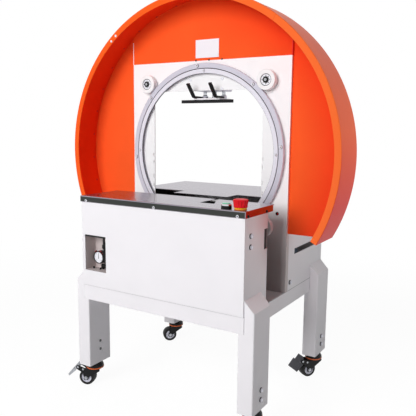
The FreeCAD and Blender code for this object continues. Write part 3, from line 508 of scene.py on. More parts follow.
def piece(name, body, parts, stands_for=()):
    """One object from (shell, material) pairs. It rides on a body and may stand for nodes."""
    points, faces, picks, used = [], [], [], []
    shift = 0
    for (shell_points, shell_faces), finish in parts:
        if finish not in used:
            used.append(finish)
        points.append(shell_points)
        faces += [tuple(index + shift for index in face) for face in shell_faces]
        picks += [used.index(finish)] * len(shell_faces)
        shift += len(shell_points)
    mesh = bpy.data.meshes.new(name)
    mesh.from_pydata(np.vstack(points).tolist(), [], faces)
    for finish in used:
        mesh.materials.append(finish)
    mesh.polygons.foreach_set("material_index", picks)
    mesh.shade_smooth()
    mesh.set_sharp_from_angle(angle=SHARP_ANGLE)
    mesh.validate()
    obj = bpy.data.objects.new(name, mesh)
    bpy.context.scene.collection.objects.link(obj)
    even = obj.modifiers.new("even_faces", "WEIGHTED_NORMAL")
    even.keep_sharp = True
    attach(obj, body)
    if stands_for:
        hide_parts(*stands_for)


def detail(name, parts, *nodes, shown=None):
    """A piece that stands for nodes, or that only rides with the node in shown."""
    guide = shown or nodes[0]
    dressed = [(shell, finishes[finish]) for shell, finish in parts]
    piece(name, body_of_node[guide], dressed, nodes)


def stand_in(node, parts):
    """The detailed piece that stands for one node, named after it."""
    detail(node + "_detail", parts, node)


# ---------------------------------------------------------------- shader nodes

def put(tree, socket, value):
    """Sets a socket to a constant, or links it to the socket that feeds it."""
    if isinstance(value, bpy.types.NodeSocket):
        tree.links.new(value, socket)
    else:
        socket.default_value = value


def add_node(tree, kind, sockets=None, **settings):
    """A new shader node with its settings, and then its sockets by name or number."""
    made = tree.nodes.new("ShaderNode" + kind)
    for name, value in settings.items():
        setattr(made, name, value)
    for key, value in (sockets or {}).items():
        put(tree, made.inputs[key], value)
    return made


def linear(colour):
    """A screen colour turned into the linear values that the shaders work in."""
    shade = np.array(colour[:3], float)
    return tuple(np.where(shade <= 0.04045, shade / 12.92, ((shade + 0.055) / 1.055) ** 2.4))


def blank_material(name):
    """A new material with its shader and its tree."""
    material = bpy.data.materials.new(name)
    material.use_nodes = True
    tree = material.node_tree
    tree.nodes.clear()
    shader = add_node(tree, "BsdfPrincipled")
    add_node(tree, "OutputMaterial", {"Surface": shader.outputs["BSDF"]})
    return material, tree, shader


def object_place(tree):
    """The place on the piece, in the object's own metres."""
    return add_node(tree, "TexCoord").outputs["Object"]


def noise(tree, scale, fineness=3.0, stretch=(1, 1, 1)):
    """Noise in the object's own metres, stretched where the scale is small."""
    spread = add_node(tree, "Mapping", {"Vector": object_place(tree), "Scale": stretch})
    cloud = add_node(tree, "TexNoise", {"Vector": spread.outputs["Vector"], "Scale": scale,
                                        "Detail": fineness})
    return cloud.outputs["Fac"]


def ramp(tree, value, start, end, low=0.0, high=1.0, kind="LINEAR"):
    """A value that runs from low to high as another runs from start to end."""
    sockets = {"Value": value, "From Min": start, "From Max": end, "To Min": low,
               "To Max": high}
    return add_node(tree, "MapRange", sockets, interpolation_type=kind).outputs["Result"]


def between(tree, share, low, high):
    """A value that runs from low to high over the range that noise mostly covers."""
    return ramp(tree, share, *NOISE_RANGE, low, high)


def calculated(tree, operation, first, second):
    """What a calculation gives for two numbers or sockets."""
    return add_node(tree, "Math", {0: first, 1: second}, operation=operation).outputs[0]


def mixed(tree, share, first, second):
    """A colour between two, each given as a socket or as linear values."""
    tones = [tone if isinstance(tone, bpy.types.NodeSocket) else (*tone[:3], 1)
             for tone in (first, second)]
    mix = add_node(tree, "Mix", {"Factor": share, "A": tones[0], "B": tones[1]},
                   data_type="RGBA")
    return mix.outputs["Result"]


def toned(material, share, colour):
    """Mixes a finish's base colour towards a screen colour by a share."""
    tree = material.node_tree
    shader = next(node for node in tree.nodes if node.type == "BSDF_PRINCIPLED")
    outer = shader.inputs["Base Color"].links[0].from_socket
    tree.links.new(mixed(tree, share, outer, linear(colour)), shader.inputs["Base Color"])


# ---------------------------------------------------------------- finishes

GLOSS_SWING = 0.05                      # how far the fine grain moves the roughness
SMOOTHEST = 0.02                        # the least roughness
COAT_ROUGHNESS = 0.12
GRAIN_STRENGTH = 0.6
WEAR_SCALE = 60.0
WEAR_RANGE = (0.66, 0.74)               # the part of the noise in which wear sets in


def surface(name, colour, rough=0.4, metallic=0.0, shift=0.03, shift_scale=9.0,
            grain=0.0, grain_scale=900.0, grain_stretch=(1, 1, 1), coat=0.0, edge=0.0,
            specular=0.5, wear=None, wear_share=0.0):
    """A procedural finish: slow shifts of shade and gloss, a fine grain, and worn patches."""
    material, tree, shader = blank_material(name)
    base = np.array(linear(colour))
    slow = between(tree, noise(tree, shift_scale), 0, 1)
    tone = mixed(tree, slow, base * (1 - shift), np.minimum(base * (1 + shift), 1))
    if wear is not None:
        patch = ramp(tree, noise(tree, WEAR_SCALE, 6.0), *WEAR_RANGE, 0.0, wear_share)
        tone = mixed(tree, patch, tone, linear(wear))
    fine = noise(tree, grain_scale, 2.0, grain_stretch)
    gloss = between(tree, fine, max(rough - GLOSS_SWING, SMOOTHEST), rough + GLOSS_SWING)
    for key, value in (("Base Color", tone), ("Roughness", gloss), ("Metallic", metallic),
                       ("Specular IOR Level", specular), ("Coat Weight", coat),
                       ("Coat Roughness", COAT_ROUGHNESS)):
        put(tree, shader.inputs[key], value)
    normal = None
    if edge > 0:
        normal = add_node(tree, "Bevel", {"Radius": edge}, samples=4).outputs["Normal"]
    if grain > 0:
        bump = add_node(tree, "Bump", {"Strength": GRAIN_STRENGTH, "Distance": grain,
                                       "Height": fine})
        if normal is not None:
            tree.links.new(normal, bump.inputs["Normal"])
        normal = bump.outputs["Normal"]
    if normal is not None:
        tree.links.new(normal, shader.inputs["Normal"])
    return material


def paint_shade_in_box(material, low, high, colour):
    """Paints shade into a finish: a colour inside a box.

    That is where the greatest of the three coordinates' distances from the box's middle, each
    less half the box's size, is below zero.
    """
    tree = material.node_tree
    place = object_place(tree)
    centre, half = (low + high) / 2, (high - low) / 2
    for sockets, operation in (({1: centre}, "SUBTRACT"), ({}, "ABSOLUTE"),
                               ({1: half}, "SUBTRACT")):
        step = add_node(tree, "VectorMath", {0: place, **sockets}, operation=operation)
        place = step.outputs["Vector"]
    parts = add_node(tree, "SeparateXYZ", {0: place}).outputs
    far = parts["X"]
    for part in ("Y", "Z"):
        far = calculated(tree, "MAXIMUM", far, parts[part])
    toned(material, calculated(tree, "LESS_THAN", far, 0.0), colour)


def graded(material, colour, *ramps):
    """Mixes a finish towards a colour, by the product of straight ramps from 0 to 1.

    A ramp is (way, start, end). The way is a coordinate, or R for the distance from the hood's
    axis.
    """
    tree = material.node_tree
    place = object_place(tree)
    parts = add_node(tree, "SeparateXYZ", {0: place}).outputs
    share = None
    for way, start, end in ramps:
        if way == "R":
            flat = add_node(tree, "VectorMath",
                            {0: place, 1: (1, 0, 1), 2: -hood_measures()[0]},
                            operation="MULTIPLY_ADD").outputs["Vector"]
            amount = add_node(tree, "VectorMath", {0: flat},
                              operation="LENGTH").outputs["Value"]
        else:
            amount = parts[way]
        amount = ramp(tree, amount, start, end)
        share = amount if share is None else calculated(tree, "MULTIPLY", share, amount)
    toned(material, share, colour)


def clear_film(name, colour):
    """Stretch film in many layers: a milky body with fine turns that show on the roll's ends."""
    material, tree, shader = blank_material(name)
    base = np.array(linear(colour))
    layers = noise(tree, 500.0, 4.0, (1, 0.02, 1))
    milky = mixed(tree, between(tree, layers, 0, 1), base * 0.86, base)
    for key, value in (("Base Color", milky), ("Roughness", between(tree, layers, 0.12, 0.3)),
                       ("Coat Weight", 0.6), ("Coat Roughness", 0.08),
                       ("Subsurface Weight", 0.25),
                       ("Subsurface Radius", (0.01, 0.01, 0.01))):
        put(tree, shader.inputs[key], value)
    return material


finishes = {}

# The boxes in which the cabinets' insides get painted shade, a dark colour though their real
# sheets are white: how far they lie inside each node's own box.
SHADE_INSETS = {"front_cabinet": ((0.016, 0.016), (0.0006, -0.01), (-0.01, -0.01)),
         "rear_cabinet": ((0.0006, 0.0006), (0.0006, 0.0006), (-0.01, -0.01)),
         "rear_cover": ((0.0006, 0.0006), (0.0006, 0.0006), (0.0006, 0.0006))}
# The box of painted shade on what the front cabinet's side notch shows: its corners from the
# cabinet's highest corner, and its lowest and top level.
NOTCH_LOW, NOTCH_HIGH, NOTCH_LEVELS = (0.019, 0.006), (0.0002, -0.01), (0.52, 0.578)
# Where the hood's inside starts behind its front edge, and inside its outer radius.
LIP_EDGE, WALL_EDGE, WALL_SKIN = (0.0022, 0.0028), (0.0012, 0.0016), (0.0008, 0.0004)


def make_finishes(colours):
    """Every finish of the machine, kept by name."""
    finishes.clear()
    brushed_top = dict(metallic=1.0, grain=0.00002, grain_scale=1400,
                       grain_stretch=(0.03, 1, 1))
    paint = dict(grain=0.00003, grain_scale=650, specular=0.12)
    ring_metal = dict(rough=0.36, metallic=0.35, shift=0.02, grain=0.00001, grain_scale=1200)
    kinds = {
        "white": dict(colour=colours.white, rough=0.4, shift=0.012, grain=0.00003,
                      grain_scale=700, edge=0.0012, specular=0.3),
        "white_soft": dict(colour=colours.white, rough=0.46, shift=0.015, grain=0.00004,
                           grain_scale=600, specular=0.3),
        "orange": dict(paint, colour=colours.orange, rough=0.4),
        "orange_back": dict(paint, colour=colours.orange_back, rough=0.42),
        "orange_deep": dict(colour=(0.86, 0.16, 0.12), rough=0.45),
        "steel_top": dict(brushed_top, colour=colours.steel, rough=0.26),
        # Painted reflection: a dark steel for the front lip's face.
        "lip_dark_reflection": dict(brushed_top, colour=colours.steel_lip_reflection, rough=0.36, shift=0.05),
        "steel_side": dict(colour=colours.steel, rough=0.2, metallic=1.0, shift=0.04,
                           grain=0.00001, grain_scale=1400, grain_stretch=(1, 0.03, 1)),
        "deck": dict(colour=colours.deck, rough=0.5, shift=0.04, grain=0.00004),
        "aluminium": dict(ring_metal, colour=colours.aluminium),
        "aluminium_light": dict(ring_metal, colour=(0.91, 0.90, 0.94)),
        "aluminium_dark": dict(colour=(0.34, 0.34, 0.36), rough=0.45, metallic=0.8, shift=0.05),
        "zinc": dict(colour=(0.70, 0.71, 0.73), rough=0.3, metallic=0.9, shift=0.08,
                     shift_scale=40, grain=0.00002, grain_scale=500),
        "chrome": dict(colour=(0.83, 0.84, 0.86), rough=0.1, metallic=1.0, shift=0.01),
        "bright_steel": dict(colour=(0.62, 0.63, 0.65), rough=0.2, metallic=1.0,
                             grain=0.00001, grain_scale=1600, grain_stretch=(1, 1, 0.04)),
        "dark_steel": dict(colour=(0.20, 0.20, 0.21), rough=0.38, metallic=0.7, shift=0.08,
                           shift_scale=30, grain=0.00002, edge=0.0006),
        "yellow": dict(colour=colours.yellow, rough=0.36, shift=0.02, grain=0.00001,
                       grain_scale=1500),
        # Painted shade: a darker yellow for the lower part of the stop button's base.
        "yellow_painted_shade": dict(colour=(0.86, 0.50, 0.16)),
        "red": dict(colour=colours.red, rough=0.42, specular=0.15),
        "red_deep": dict(colour=(0.55, 0.07, 0.06), rough=0.4, shift=0.05),
        "green": dict(colour=colours.green, rough=0.28, coat=0.3),
        "black": dict(colour=colours.black, rough=0.36, shift=0.08, specular=0.22),
        "black_dull": dict(colour=(0.09, 0.09, 0.095), rough=0.6, shift=0.1, grain=0.00003,
                           grain_scale=900),
        "rubber": dict(colour=(0.045, 0.045, 0.048), rough=0.72, shift=0.12, shift_scale=30,
                       grain=0.00006, grain_scale=700, wear=(0.13, 0.13, 0.13),
                       wear_share=0.3),
        "grey_plastic": dict(colour=(0.72, 0.72, 0.73), rough=0.42),
        "hub": dict(colour=(0.90, 0.90, 0.94), rough=0.3, metallic=0.2),
        "pedal_grey": dict(colour=(0.36, 0.36, 0.38), rough=0.5, shift=0.08, specular=0.25),
        "seal": dict(colour=colours.seal, rough=0.42, shift=0.06, coat=0.1),
        "tyre": dict(colour=(0.975, 0.97, 0.975), rough=0.48, grain=0.00003,
                     wear=(0.7, 0.7, 0.7), wear_share=0.15),
        "dial": dict(colour=(0.96, 0.96, 0.985), rough=0.5, shift=0.01),
        "ink": dict(colour=(0.05, 0.05, 0.06), rough=0.5, shift=0.05),
        "motor": dict(colour=(0.26, 0.33, 0.40), rough=0.42, shift=0.05, grain=0.00004),
        "core": dict(colour=(0.62, 0.50, 0.36), rough=0.8, shift=0.1, grain=0.0001),
        "foam": dict(colour=(0.10, 0.10, 0.11), rough=0.85, shift=0.1, grain=0.0001,
                     grain_scale=500),
        "window": dict(colour=colours.window, rough=0.55, shift=0.05),
    }
    for name in SHADE_INSETS:
        kinds[name] = kinds["white"]
    kinds["panel"] = dict(kinds["white"], colour=(0.99, 0.985, 0.99))
    for name, kind in kinds.items():
        finishes[name] = surface("finish_" + name, **kind)
    finishes["film"] = clear_film("finish_film", (0.86, 0.89, 0.90))
    shade_cabinet_insides(colours)
    grade_sheets(colours)


def shade_cabinet_insides(colours):
    """Painted shade: a dark colour on the cabinets' inner faces, and a grey on what shows through
    the front cabinet's side notch.
    """
    for name, inset_by in SHADE_INSETS.items():
        low, high = low_high(name)
        near, far = np.array(inset_by).T
        # Painted shade: the cabinet's inside is coloured dark where it lies in shadow.
        paint_shade_in_box(finishes[name], low + near, high - far, colours.interior_shade)
    # Painted shade: the wall seen through the side notch is greyed where it lies in shadow.
    corner = low_high("front_cabinet")[1]
    low, high = ((corner[0] - across, corner[1] - ahead, level) for (across, ahead), level
                 in zip((NOTCH_LOW, NOTCH_HIGH), NOTCH_LEVELS))
    paint_shade_in_box(finishes["front_cabinet"], np.array(low), np.array(high), colours.notch)


def grade_sheets(colours):
    """Painted shade on the hood's inside, foot and back sheets and on the panel's foot; a painted
    lit lip.
    """
    radius, front = hood_measures()[1], hood_measures()[3]
    near, far = (front + edge for edge in LIP_EDGE)
    inner = ("R", *(radius - edge for edge in WALL_EDGE))
    skin = ("R", *(radius - edge for edge in WALL_SKIN))
    # Painted shade: the inside of the hood's wall is darker and redder, as it lies in shade.
    graded(finishes["orange"], colours.orange_inside_shade, inner, ("Y", near, far))
    # Painted light: the lip's front is lighter towards the right, as if lit more strongly.
    graded(finishes["orange"], colours.orange_lip_light, ("Y", far, near), ("X", -0.1, 0.35))
    # Painted shade: the outer wall is darker and redder low on the right, where less light falls.
    graded(finishes["orange"], colours.orange_foot_shade, skin, ("Z", 0.84, 0.64), ("X", 0.2, 0.3))
    # Painted shade: the back sheets darken towards the hood's wall on the right, as if shadowed
    # by it.
    graded(finishes["orange_back"], colours.orange_back_shade, ("R", 0.32, 0.47),
           ("X", -0.05, 0.25))
    # Painted shade: the upright panel darkens towards its foot, where it lies in the front
    # cabinet's shadow.
    graded(finishes["panel"], colours.panel_low, ("Z", 0.63, 0.45))


def dress(names, finish):
    """Gives nodes of the frame a finish."""
    for name in names:
        data = frame["nodes"][name].data
        data.materials.clear()
        data.materials.append(finishes[finish])


# ---------------------------------------------------------------- settings

def colour_value(name, value, about):
    """A setting that holds a screen colour."""
    return bpy.props.FloatVectorProperty(name=name, description=about, default=value, size=3,
                                         min=0.0, max=1.0, subtype="COLOR_GAMMA")


def length_value(name, value, about):
    """A setting that holds a length."""
    return bpy.props.FloatProperty(name=name, description=about, default=value, min=0.0,
                                   unit="LENGTH", precision=5)


def power_value(name, value, about):
    """A setting that holds a lamp's watts."""
    return bpy.props.FloatProperty(name=name, description=about, default=value, min=0.0,
                                   unit="POWER")


def angle_value(name, degrees, about):
    """A setting that holds an angle."""
    return bpy.props.FloatProperty(name=name, description=about,
                                   default=math.radians(degrees), unit="ROTATION")


class WrapperColours(bpy.types.PropertyGroup):
    """The screen colours of the finishes."""
    white: colour_value("White", (0.95, 0.94, 0.955), "Powder coat of frame and cabinets")
    orange: colour_value("Orange", (0.99, 0.375, 0.13), "Powder coat of the hood")
    # Painted shade on the inside of the hood's wall.
    orange_inside_shade: colour_value("Orange inside", (0.99, 0.25, 0.08), "Inside of the hood's wall")
    # Painted light on the hood's lip near the right.
    orange_lip_light: colour_value("Orange lit", (0.99, 0.44, 0.20), "The hood's lip near the right")
    # Painted shade on the low end of the hood's outer wall.
    orange_foot_shade: colour_value("Orange foot", (0.93, 0.13, 0.04), "Low end of the hood's wall")
    # Painted shade on the back sheets near the right.
    orange_back_shade: colour_value("Orange shade", (0.91, 0.19, 0.08), "Back sheets near the right")
    # Painted shade at the foot of the upright panel.
    panel_low: colour_value("Panel low", (0.78, 0.74, 0.74), "Foot of the upright panel")
    orange_back: colour_value("Orange back", (0.99, 0.37, 0.16), "Powder coat behind the ring")
    steel: colour_value("Steel", (0.62, 0.595, 0.635), "Brushed table tops")
    # Painted reflection: the front lip's face is darkened for the dark room it mirrors.
    steel_lip_reflection: colour_value("Dark steel", (0.27, 0.28, 0.27), "The front table's folded lip")
    deck: colour_value("Deck", (0.72, 0.72, 0.73), "Sheet on the base frame")
    aluminium: colour_value("Aluminium", (0.825, 0.815, 0.865), "Wrapping ring")
    yellow: colour_value("Yellow", (0.99, 0.76, 0.10), "Collar of the stop button")
    red: colour_value("Red", (0.87, 0.12, 0.16), "Head of the stop button")
    green: colour_value("Green", (0.28, 0.78, 0.60), "Cap of the start button")
    black: colour_value("Black", (0.055, 0.055, 0.06), "Plastic and painted black pieces")
    seal: colour_value("Seal", (0.88, 0.40, 0.16), "Dust seal of a caster")
    # Painted shade: the cabinets' insides are dark, though their real sheets are white.
    interior_shade: colour_value("Lining", (0.05, 0.045, 0.045), "Inside of the sheet cabinets")
    # Painted shade on the white wall seen through the side notch.
    notch: colour_value("Notch", (0.62, 0.57, 0.57), "What the cabinet's side notch shows")
    window: colour_value("Window pan", (0.82, 0.77, 0.765), "Inside of the gauge window")


class WrapperSizes(bpy.types.PropertyGroup):
    """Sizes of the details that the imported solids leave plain."""
    sheet: length_value("Sheet", 0.002, "Thickness of the hood and table sheets")
    sheet_bend: length_value("Sheet bend", 0.0032, "Outside radius of a folded table edge")
    hood_bend: length_value("Hood bend", 0.0028, "Outside radius of the hood's folded lip")
    seam: length_value("Seam", 0.0005, "Gap between two hood sheets")
    tube_corner: length_value("Tube corner", 0.004, "Corner radius of the leg tubes")
    rim: length_value("Rim", 0.0006, "Small rounding of turned and milled edges")
    flute_depth: length_value("Flute depth", 0.0026, "Depth of the stop button's grip flutes")
    rib_step: length_value("Rib step", 0.0042, "Distance between the ribs of a press finger")
    hub_radius: length_value("Hub radius", 0.0165, "Outer radius of a caster wheel's light hub")


class WrapperView(bpy.types.PropertyGroup):
    """The camera and the lights."""
    camera_place: bpy.props.FloatVectorProperty(
        name="Camera", description="Where the camera stands", size=3, unit="LENGTH",
        default=(0.9259, -1.5096, 0.8507))
    camera_yaw: angle_value("Yaw", 31.59, "Turn of the view to the left of +Y")
    camera_pitch: angle_value("Pitch", 8.36, "Tilt of the view below level")
    camera_roll: angle_value("Roll", 0.59, "Roll of the camera")
    camera_lens: bpy.props.FloatProperty(
        name="Lens", description="Focal length in millimetres on a 36 mm sensor", default=47.4,
        min=1.0)
    ambient: bpy.props.FloatProperty(
        name="Ambient", description="Strength of the light from all round", default=0.075,
        min=0.0)
    key: power_value("Key", 90.0, "Watts of the wide soft box in front")
    side: power_value("Side light", 2.6, "Watts of the soft box on the right")
    top: power_value("Top light", 6.0, "Watts of the soft box overhead")
    back: power_value("Back light", 26.0, "Watts of the soft box behind")


# ---------------------------------------------------------------- the stage

def link_object(name, data):
    """A new object in the scene."""
    obj = bpy.data.objects.new(name, data)
    bpy.context.scene.collection.objects.link(obj)
    return obj


def seen_as_white(tree):
    """The share of rays that see plain white: camera, glossy and transmission rays."""
    path = add_node(tree, "LightPath").outputs
    total = path["Is Camera Ray"]
    for kind in ("Is Glossy Ray", "Is Transmission Ray"):
        total = calculated(tree, "MAXIMUM", total, path[kind])
    return total


def build_world(view):
    """White behind everything, and an even light of the set strength from all round."""
    world = bpy.data.worlds.new("studio_world")
    world.use_nodes = True
    tree = world.node_tree
    tree.nodes.clear()
    even = add_node(tree, "Background", {"Strength": view.ambient,
                                         "Color": (0.97, 0.985, 1.0, 1)})
    seen = add_node(tree, "Background", {"Strength": 1.0, "Color": (1, 1, 1, 1)})
    mix = add_node(tree, "MixShader", {"Fac": seen_as_white(tree), 1: even.outputs[0],
                                       2: seen.outputs[0]})
    add_node(tree, "OutputWorld", {"Surface": mix.outputs[0]})
    bpy.context.scene.world = world


def build_floor():
    """A pale floor that looks white and keeps a soft shadow under the machine.

    Both the share of plain white and its strength run from a near to a far value, with the
    distance from the machine.
    """
    fade_start, fade_end, side = 0.9, 2.6, 30.0
    material = bpy.data.materials.new("studio_floor")
    material.use_nodes = True
    tree = material.node_tree
    tree.nodes.clear()
    away = add_node(tree, "VectorMath", {0: object_place(tree)},
                    operation="LENGTH").outputs["Value"]
    share, strength = (ramp(tree, away, fade_start, fade_end, near, far, "SMOOTHSTEP")
                       for near, far in ((0.86, 1.0), (1.09, 1.0)))
    matt = add_node(tree, "BsdfDiffuse", {"Color": (0.7, 0.7, 0.7, 1)})
    white = add_node(tree, "Emission", {"Strength": strength})
    mix = add_node(tree, "MixShader",
                   {"Fac": calculated(tree, "MULTIPLY", seen_as_white(tree), share),
                    1: matt.outputs[0], 2: white.outputs[0]})
    add_node(tree, "OutputMaterial", {"Surface": mix.outputs[0]})
    mesh = bpy.data.meshes.new("studio_floor")
    mesh.from_pydata([(-side, -side, 0), (side, -side, 0), (side, side, 0), (-side, side, 0)],
                     [], [(0, 1, 2, 3)])
    mesh.materials.append(material)
    floor = link_object("studio_floor", mesh)


def build_camera(view):
    """The camera from its place and its three angles.

    The way ahead comes from the yaw and the pitch. Level is square to it, and the roll turns
    level and upright about it.
    """
    data = bpy.data.cameras.new("view_camera")
    data.lens = view.camera_lens
    data.sensor_width = 36.0
    data.sensor_fit = "HORIZONTAL"
    data.dof.use_dof = False
    data.clip_start = 0.01
    data.clip_end = 100.0
    camera = link_object("view_camera", data)
    yaw, pitch, roll = view.camera_yaw, view.camera_pitch, view.camera_roll
    ahead = np.array([-math.sin(yaw) * math.cos(pitch), math.cos(yaw) * math.cos(pitch),
                      -math.sin(pitch)])
    level = np.array([math.cos(yaw), math.sin(yaw), 0.0])
    upright = np.cross(level, ahead)
    right = level * math.cos(roll) + upright * math.sin(roll)
    up = upright * math.cos(roll) - level * math.sin(roll)
    matrix = np.eye(4)
    matrix[:3, 0], matrix[:3, 1], matrix[:3, 2] = right, up, -ahead
    matrix[:3, 3] = view.camera_place
    camera.matrix_world = Matrix(matrix.tolist())
    bpy.context.scene.camera = camera


def soft_box(name, place, target, width, height, watts):
    """A rectangular lamp that faces a place."""
    lamp = bpy.data.lights.new(name, "AREA")
    lamp.shape = "RECTANGLE"
    lamp.size, lamp.size_y = width, height
    lamp.energy = watts
    matrix = np.eye(4)
    matrix[:3, :3] = facing(np.array(place) - np.array(target))
    matrix[:3, 3] = place
    box = link_object(name, lamp)
    box.matrix_world = Matrix(matrix.tolist())
    box.visible_glossy = False


def build_lights(view):
    """A wide key in front, a box high on the right and weak ones overhead and behind."""
    soft_box("key_light", (-0.25, -3.2, 1.8), (0, 0, 0.65), 1.8, 1.8, view.key)
    soft_box("side_light", (1.15, 0.1, 0.92), (0.45, 0, 0.9), 0.4, 0.4, view.side)
    soft_box("top_light", (-0.2, -0.2, 2.4), (-0.2, -0.2, 0), 1.6, 1.2, view.top)
    soft_box("back_light", (-0.9, 3.2, 1.5), (0, 0, 0.65), 1.6, 1.6, view.back)


# ---------------------------------------------------------------- hood, tables and frame

def build_hood(sizes):
    """The rolled sheets: one section with its folded lip, carried round each sheet's own part.

    At each end the angle is less by half the seam over the radius.
    """
    centre, radius, lip, front, back = hood_measures()
    wall, rim, bend = sizes.sheet, sizes.rim, sizes.hood_bend
    profile = rounded([(lip, front), (radius, front), (radius, back), (radius - wall, back),
                       (radius - wall, front + wall), (lip, front + wall)],
                      [rim, bend, rim, rim, bend - wall, rim], 5)
    gap = math.degrees(sizes.seam / radius) / 2
    for node in ("hood_left", "hood_top", "hood_right"):
        start, end = span_round(node, centre)
        shell = revolved(profile, centre, "y", start + gap, end - gap, steps=90)
        stand_in(node, [(shell, "orange")])


def build_panel_trim():
    """Screws along the panels' joint, a cable plug, and the upper panel's edge strips: a painted
    highlight on the left and painted shade on the right.

    A strip ends where the upper panel's side meets the hood's lip: at the root of the lip's
    radius squared less the side's distance squared.
    """
    panel_low, panel_high = low_high("upright_panel")
    low, high = low_high("upper_panel")
    head = screw_head(0.0028, 0.0012, 0.0012, 0.0008)
    screws = [(seated(head, (0, -1, 0), (x, low[1], panel_high[2] + 0.0012)), "dark_steel")
              for x in (-0.0376, 0.0104, 0.057)]
    detail("upper_screws", screws, shown="fasteners")
    spot = np.array([panel_high[0] - 0.033, panel_low[1],
                     low_high("front_table")[1][2] - 0.042])
    face = spot[1]
    cap = bar(spot, 0.0052, face - 0.0004, face + 0.001, "y", 0.0003, 24)
    core = bar(spot + np.array([0.0022, 0, 0]), 0.0022, face - 0.001, face, "y", 0.0003, 16)
    detail("cable_plug", [(cap, "black"), (core, "red")], shown="upright_panel")
    centre, lip = hood_measures()[0], hood_measures()[2]
    reach = math.sqrt(lip * lip - low[0] * low[0]) + centre[2] + 0.006
    # Painted light: a white strip for the highlight on the left bend, and a deep orange strip for
    # the shaded right side.
    edge_light_and_shade = [(block((x - 0.0012, low[1] - 0.0003, low[2]),
                     (x + 0.0012, low[1] + 0.0006, reach)), finish)
              for x, finish in ((low[0], "white_soft"), (high[0], "orange_deep"))]
    detail("upper_edge_light_and_shade", edge_light_and_shade, shown="upper_panel")


def fold_profile(sheet, bend, lip, top, reach):
    """The section of a folded edge: a lip, a bend, and a start of the flat top.

    The bend's inner radius is its outer radius less the sheet.
    """
    corners = [(0, lip), (0, top), (bend + reach, top), (bend + reach, top - sheet),
               (sheet, top - sheet), (sheet, lip)]
    return rounded(corners, [0.0004, bend, 0, 0, max(bend - sheet, 0.0006), 0.0004], 5)


def build_tables(sizes):
    """Folded tops: a rounded edge swept along the sides, and the flat sheet inside it."""
    sheet, bend = sizes.sheet, sizes.sheet_bend
    reach = 0.002                       # how much of the flat top the swept edge has
    inner = bend + reach
    low, high = low_high("front_table")
    half, front, back, top, lip = high[0], low[1], high[1], high[2], low[2]
    end = back - 0.006                  # where the folded sides end
    edge = swept([(-half, end), (-half, front), (half, front), (half, end)],
                 fold_profile(sheet, bend, lip, top, reach))
    cut_left, cut_top, cut_right, cut_front = 0.098, 0.105, 0.146, back - 0.091
    flat = prism([(-half + inner, front + inner), (half - inner, front + inner),
                  (half - inner, end), (half, end), (half, back), (cut_top, back),
                  (cut_right, cut_front), (cut_left, cut_front), (cut_left, back),
                  (-half, back), (-half, end), (-half + inner, end)], "z", top - sheet, top)
    # A thin dark sheet on the lip's front face: painted reflection of the dark room in front,
    # while the bend above it stays bright.
    cover = block((-half + 0.001, front - 0.0003, lip + 0.0012),
                  (half - 0.0025, front + 0.0002, top - bend))
    stand_in("front_table", [(edge, "steel_side"), (flat, "steel_top"), (cover, "lip_dark_reflection")])
    low, high = low_high("rear_table")
    half, tongue_front, back, top = high[0], low[1], high[1], high[2]
    start = back - 0.2807               # the front edge beside the tongue
    tongue = 0.1                        # half the tongue's width
    edge = swept([(half, start), (half, back), (-half, back), (-half, start)],
                 fold_profile(sheet, bend, low[2], top, reach))
    flat = prism([(-half + inner, start), (-tongue, start), (-tongue, tongue_front),
                  (tongue, tongue_front), (tongue, start), (half - inner, start),
                  (half - inner, back - inner), (-half + inner, back - inner)],
                 "z", top - sheet, top)
    stand_in("rear_table", [(edge, "steel_side"), (flat, "steel_top")])


def leg_shell(front, back, levels, radius):
    """A post with rounded upright edges: one section at each (level, inner, outer) given."""
    sections = []
    for level, inner, outer in levels:
        near, far = sorted((inner, outer))
        corner = min(radius, (far - near) * ARC_SHARE)
        outline = rounded(rectangle(near, far, front, back), corner, 4)
        sections.append(placed(outline[:, 0], outline[:, 1], level, "z"))
    return lofted(np.stack(sections))


def build_legs(sizes):
    """Four posts: a full tube up to the rail, and above it the lap outside with its slope.

    The slope rises by as much as the lap is wide.
    """
    parts = []
    rail = low_high("cross_beams")[0][2]
    side_face = low_high("side_rails")[1][0]
    for points in loose_parts("legs"):
        low, high = points.min(0), points.max(0)
        side = 1 if low[0] > 0 else -1
        outer, inner = (high[0], low[0]) if side > 0 else (low[0], high[0])
        face = side * side_face
        crown = high[2] - abs(outer - face)
        levels = [(low[2], inner, outer), (rail, inner, outer), (rail + 0.0001, face, outer),
                  (crown, face, outer), (high[2], face, face + side * 0.0012)]
        shell = leg_shell(low[1], high[1], levels, sizes.tube_corner)
        parts.append((shell, "white_soft"))
    stand_in("legs", parts)


# ---------------------------------------------------------------- screws and rivets

RIVET_HEIGHT = 0.0018                   # a lower head is a rivet
BOLT_RADIUS = 0.0055                    # a wider head is a hexagon bolt
INNER_REACH, INNER_TOP = 0.28, 0.2      # bolts nearer the middle and lower face inwards
LIP_FRONT, LIP_LEVEL, LIP_SPREAD = -0.28, 0.6255, 0.004     # the front table's lip
HIGH_SCREWS = 0.9                       # screws above this are bright


def fastener_way(centre, axis, rivet):
    """A way on a head's outer side.

    A rivet faces the hood's axis, a screw or bolt away from the machine's middle, and a low
    bolt near the middle towards it.
    """
    if rivet:
        return hood_measures()[0] - centre
    if abs(axis[0]) > ALONG:
        inward = centre[2] < INNER_TOP and abs(centre[0]) < INNER_REACH
        return X_WAY * np.sign(centre[0]) * (-1 if inward else 1)
    return Y_WAY * np.sign(centre[1])


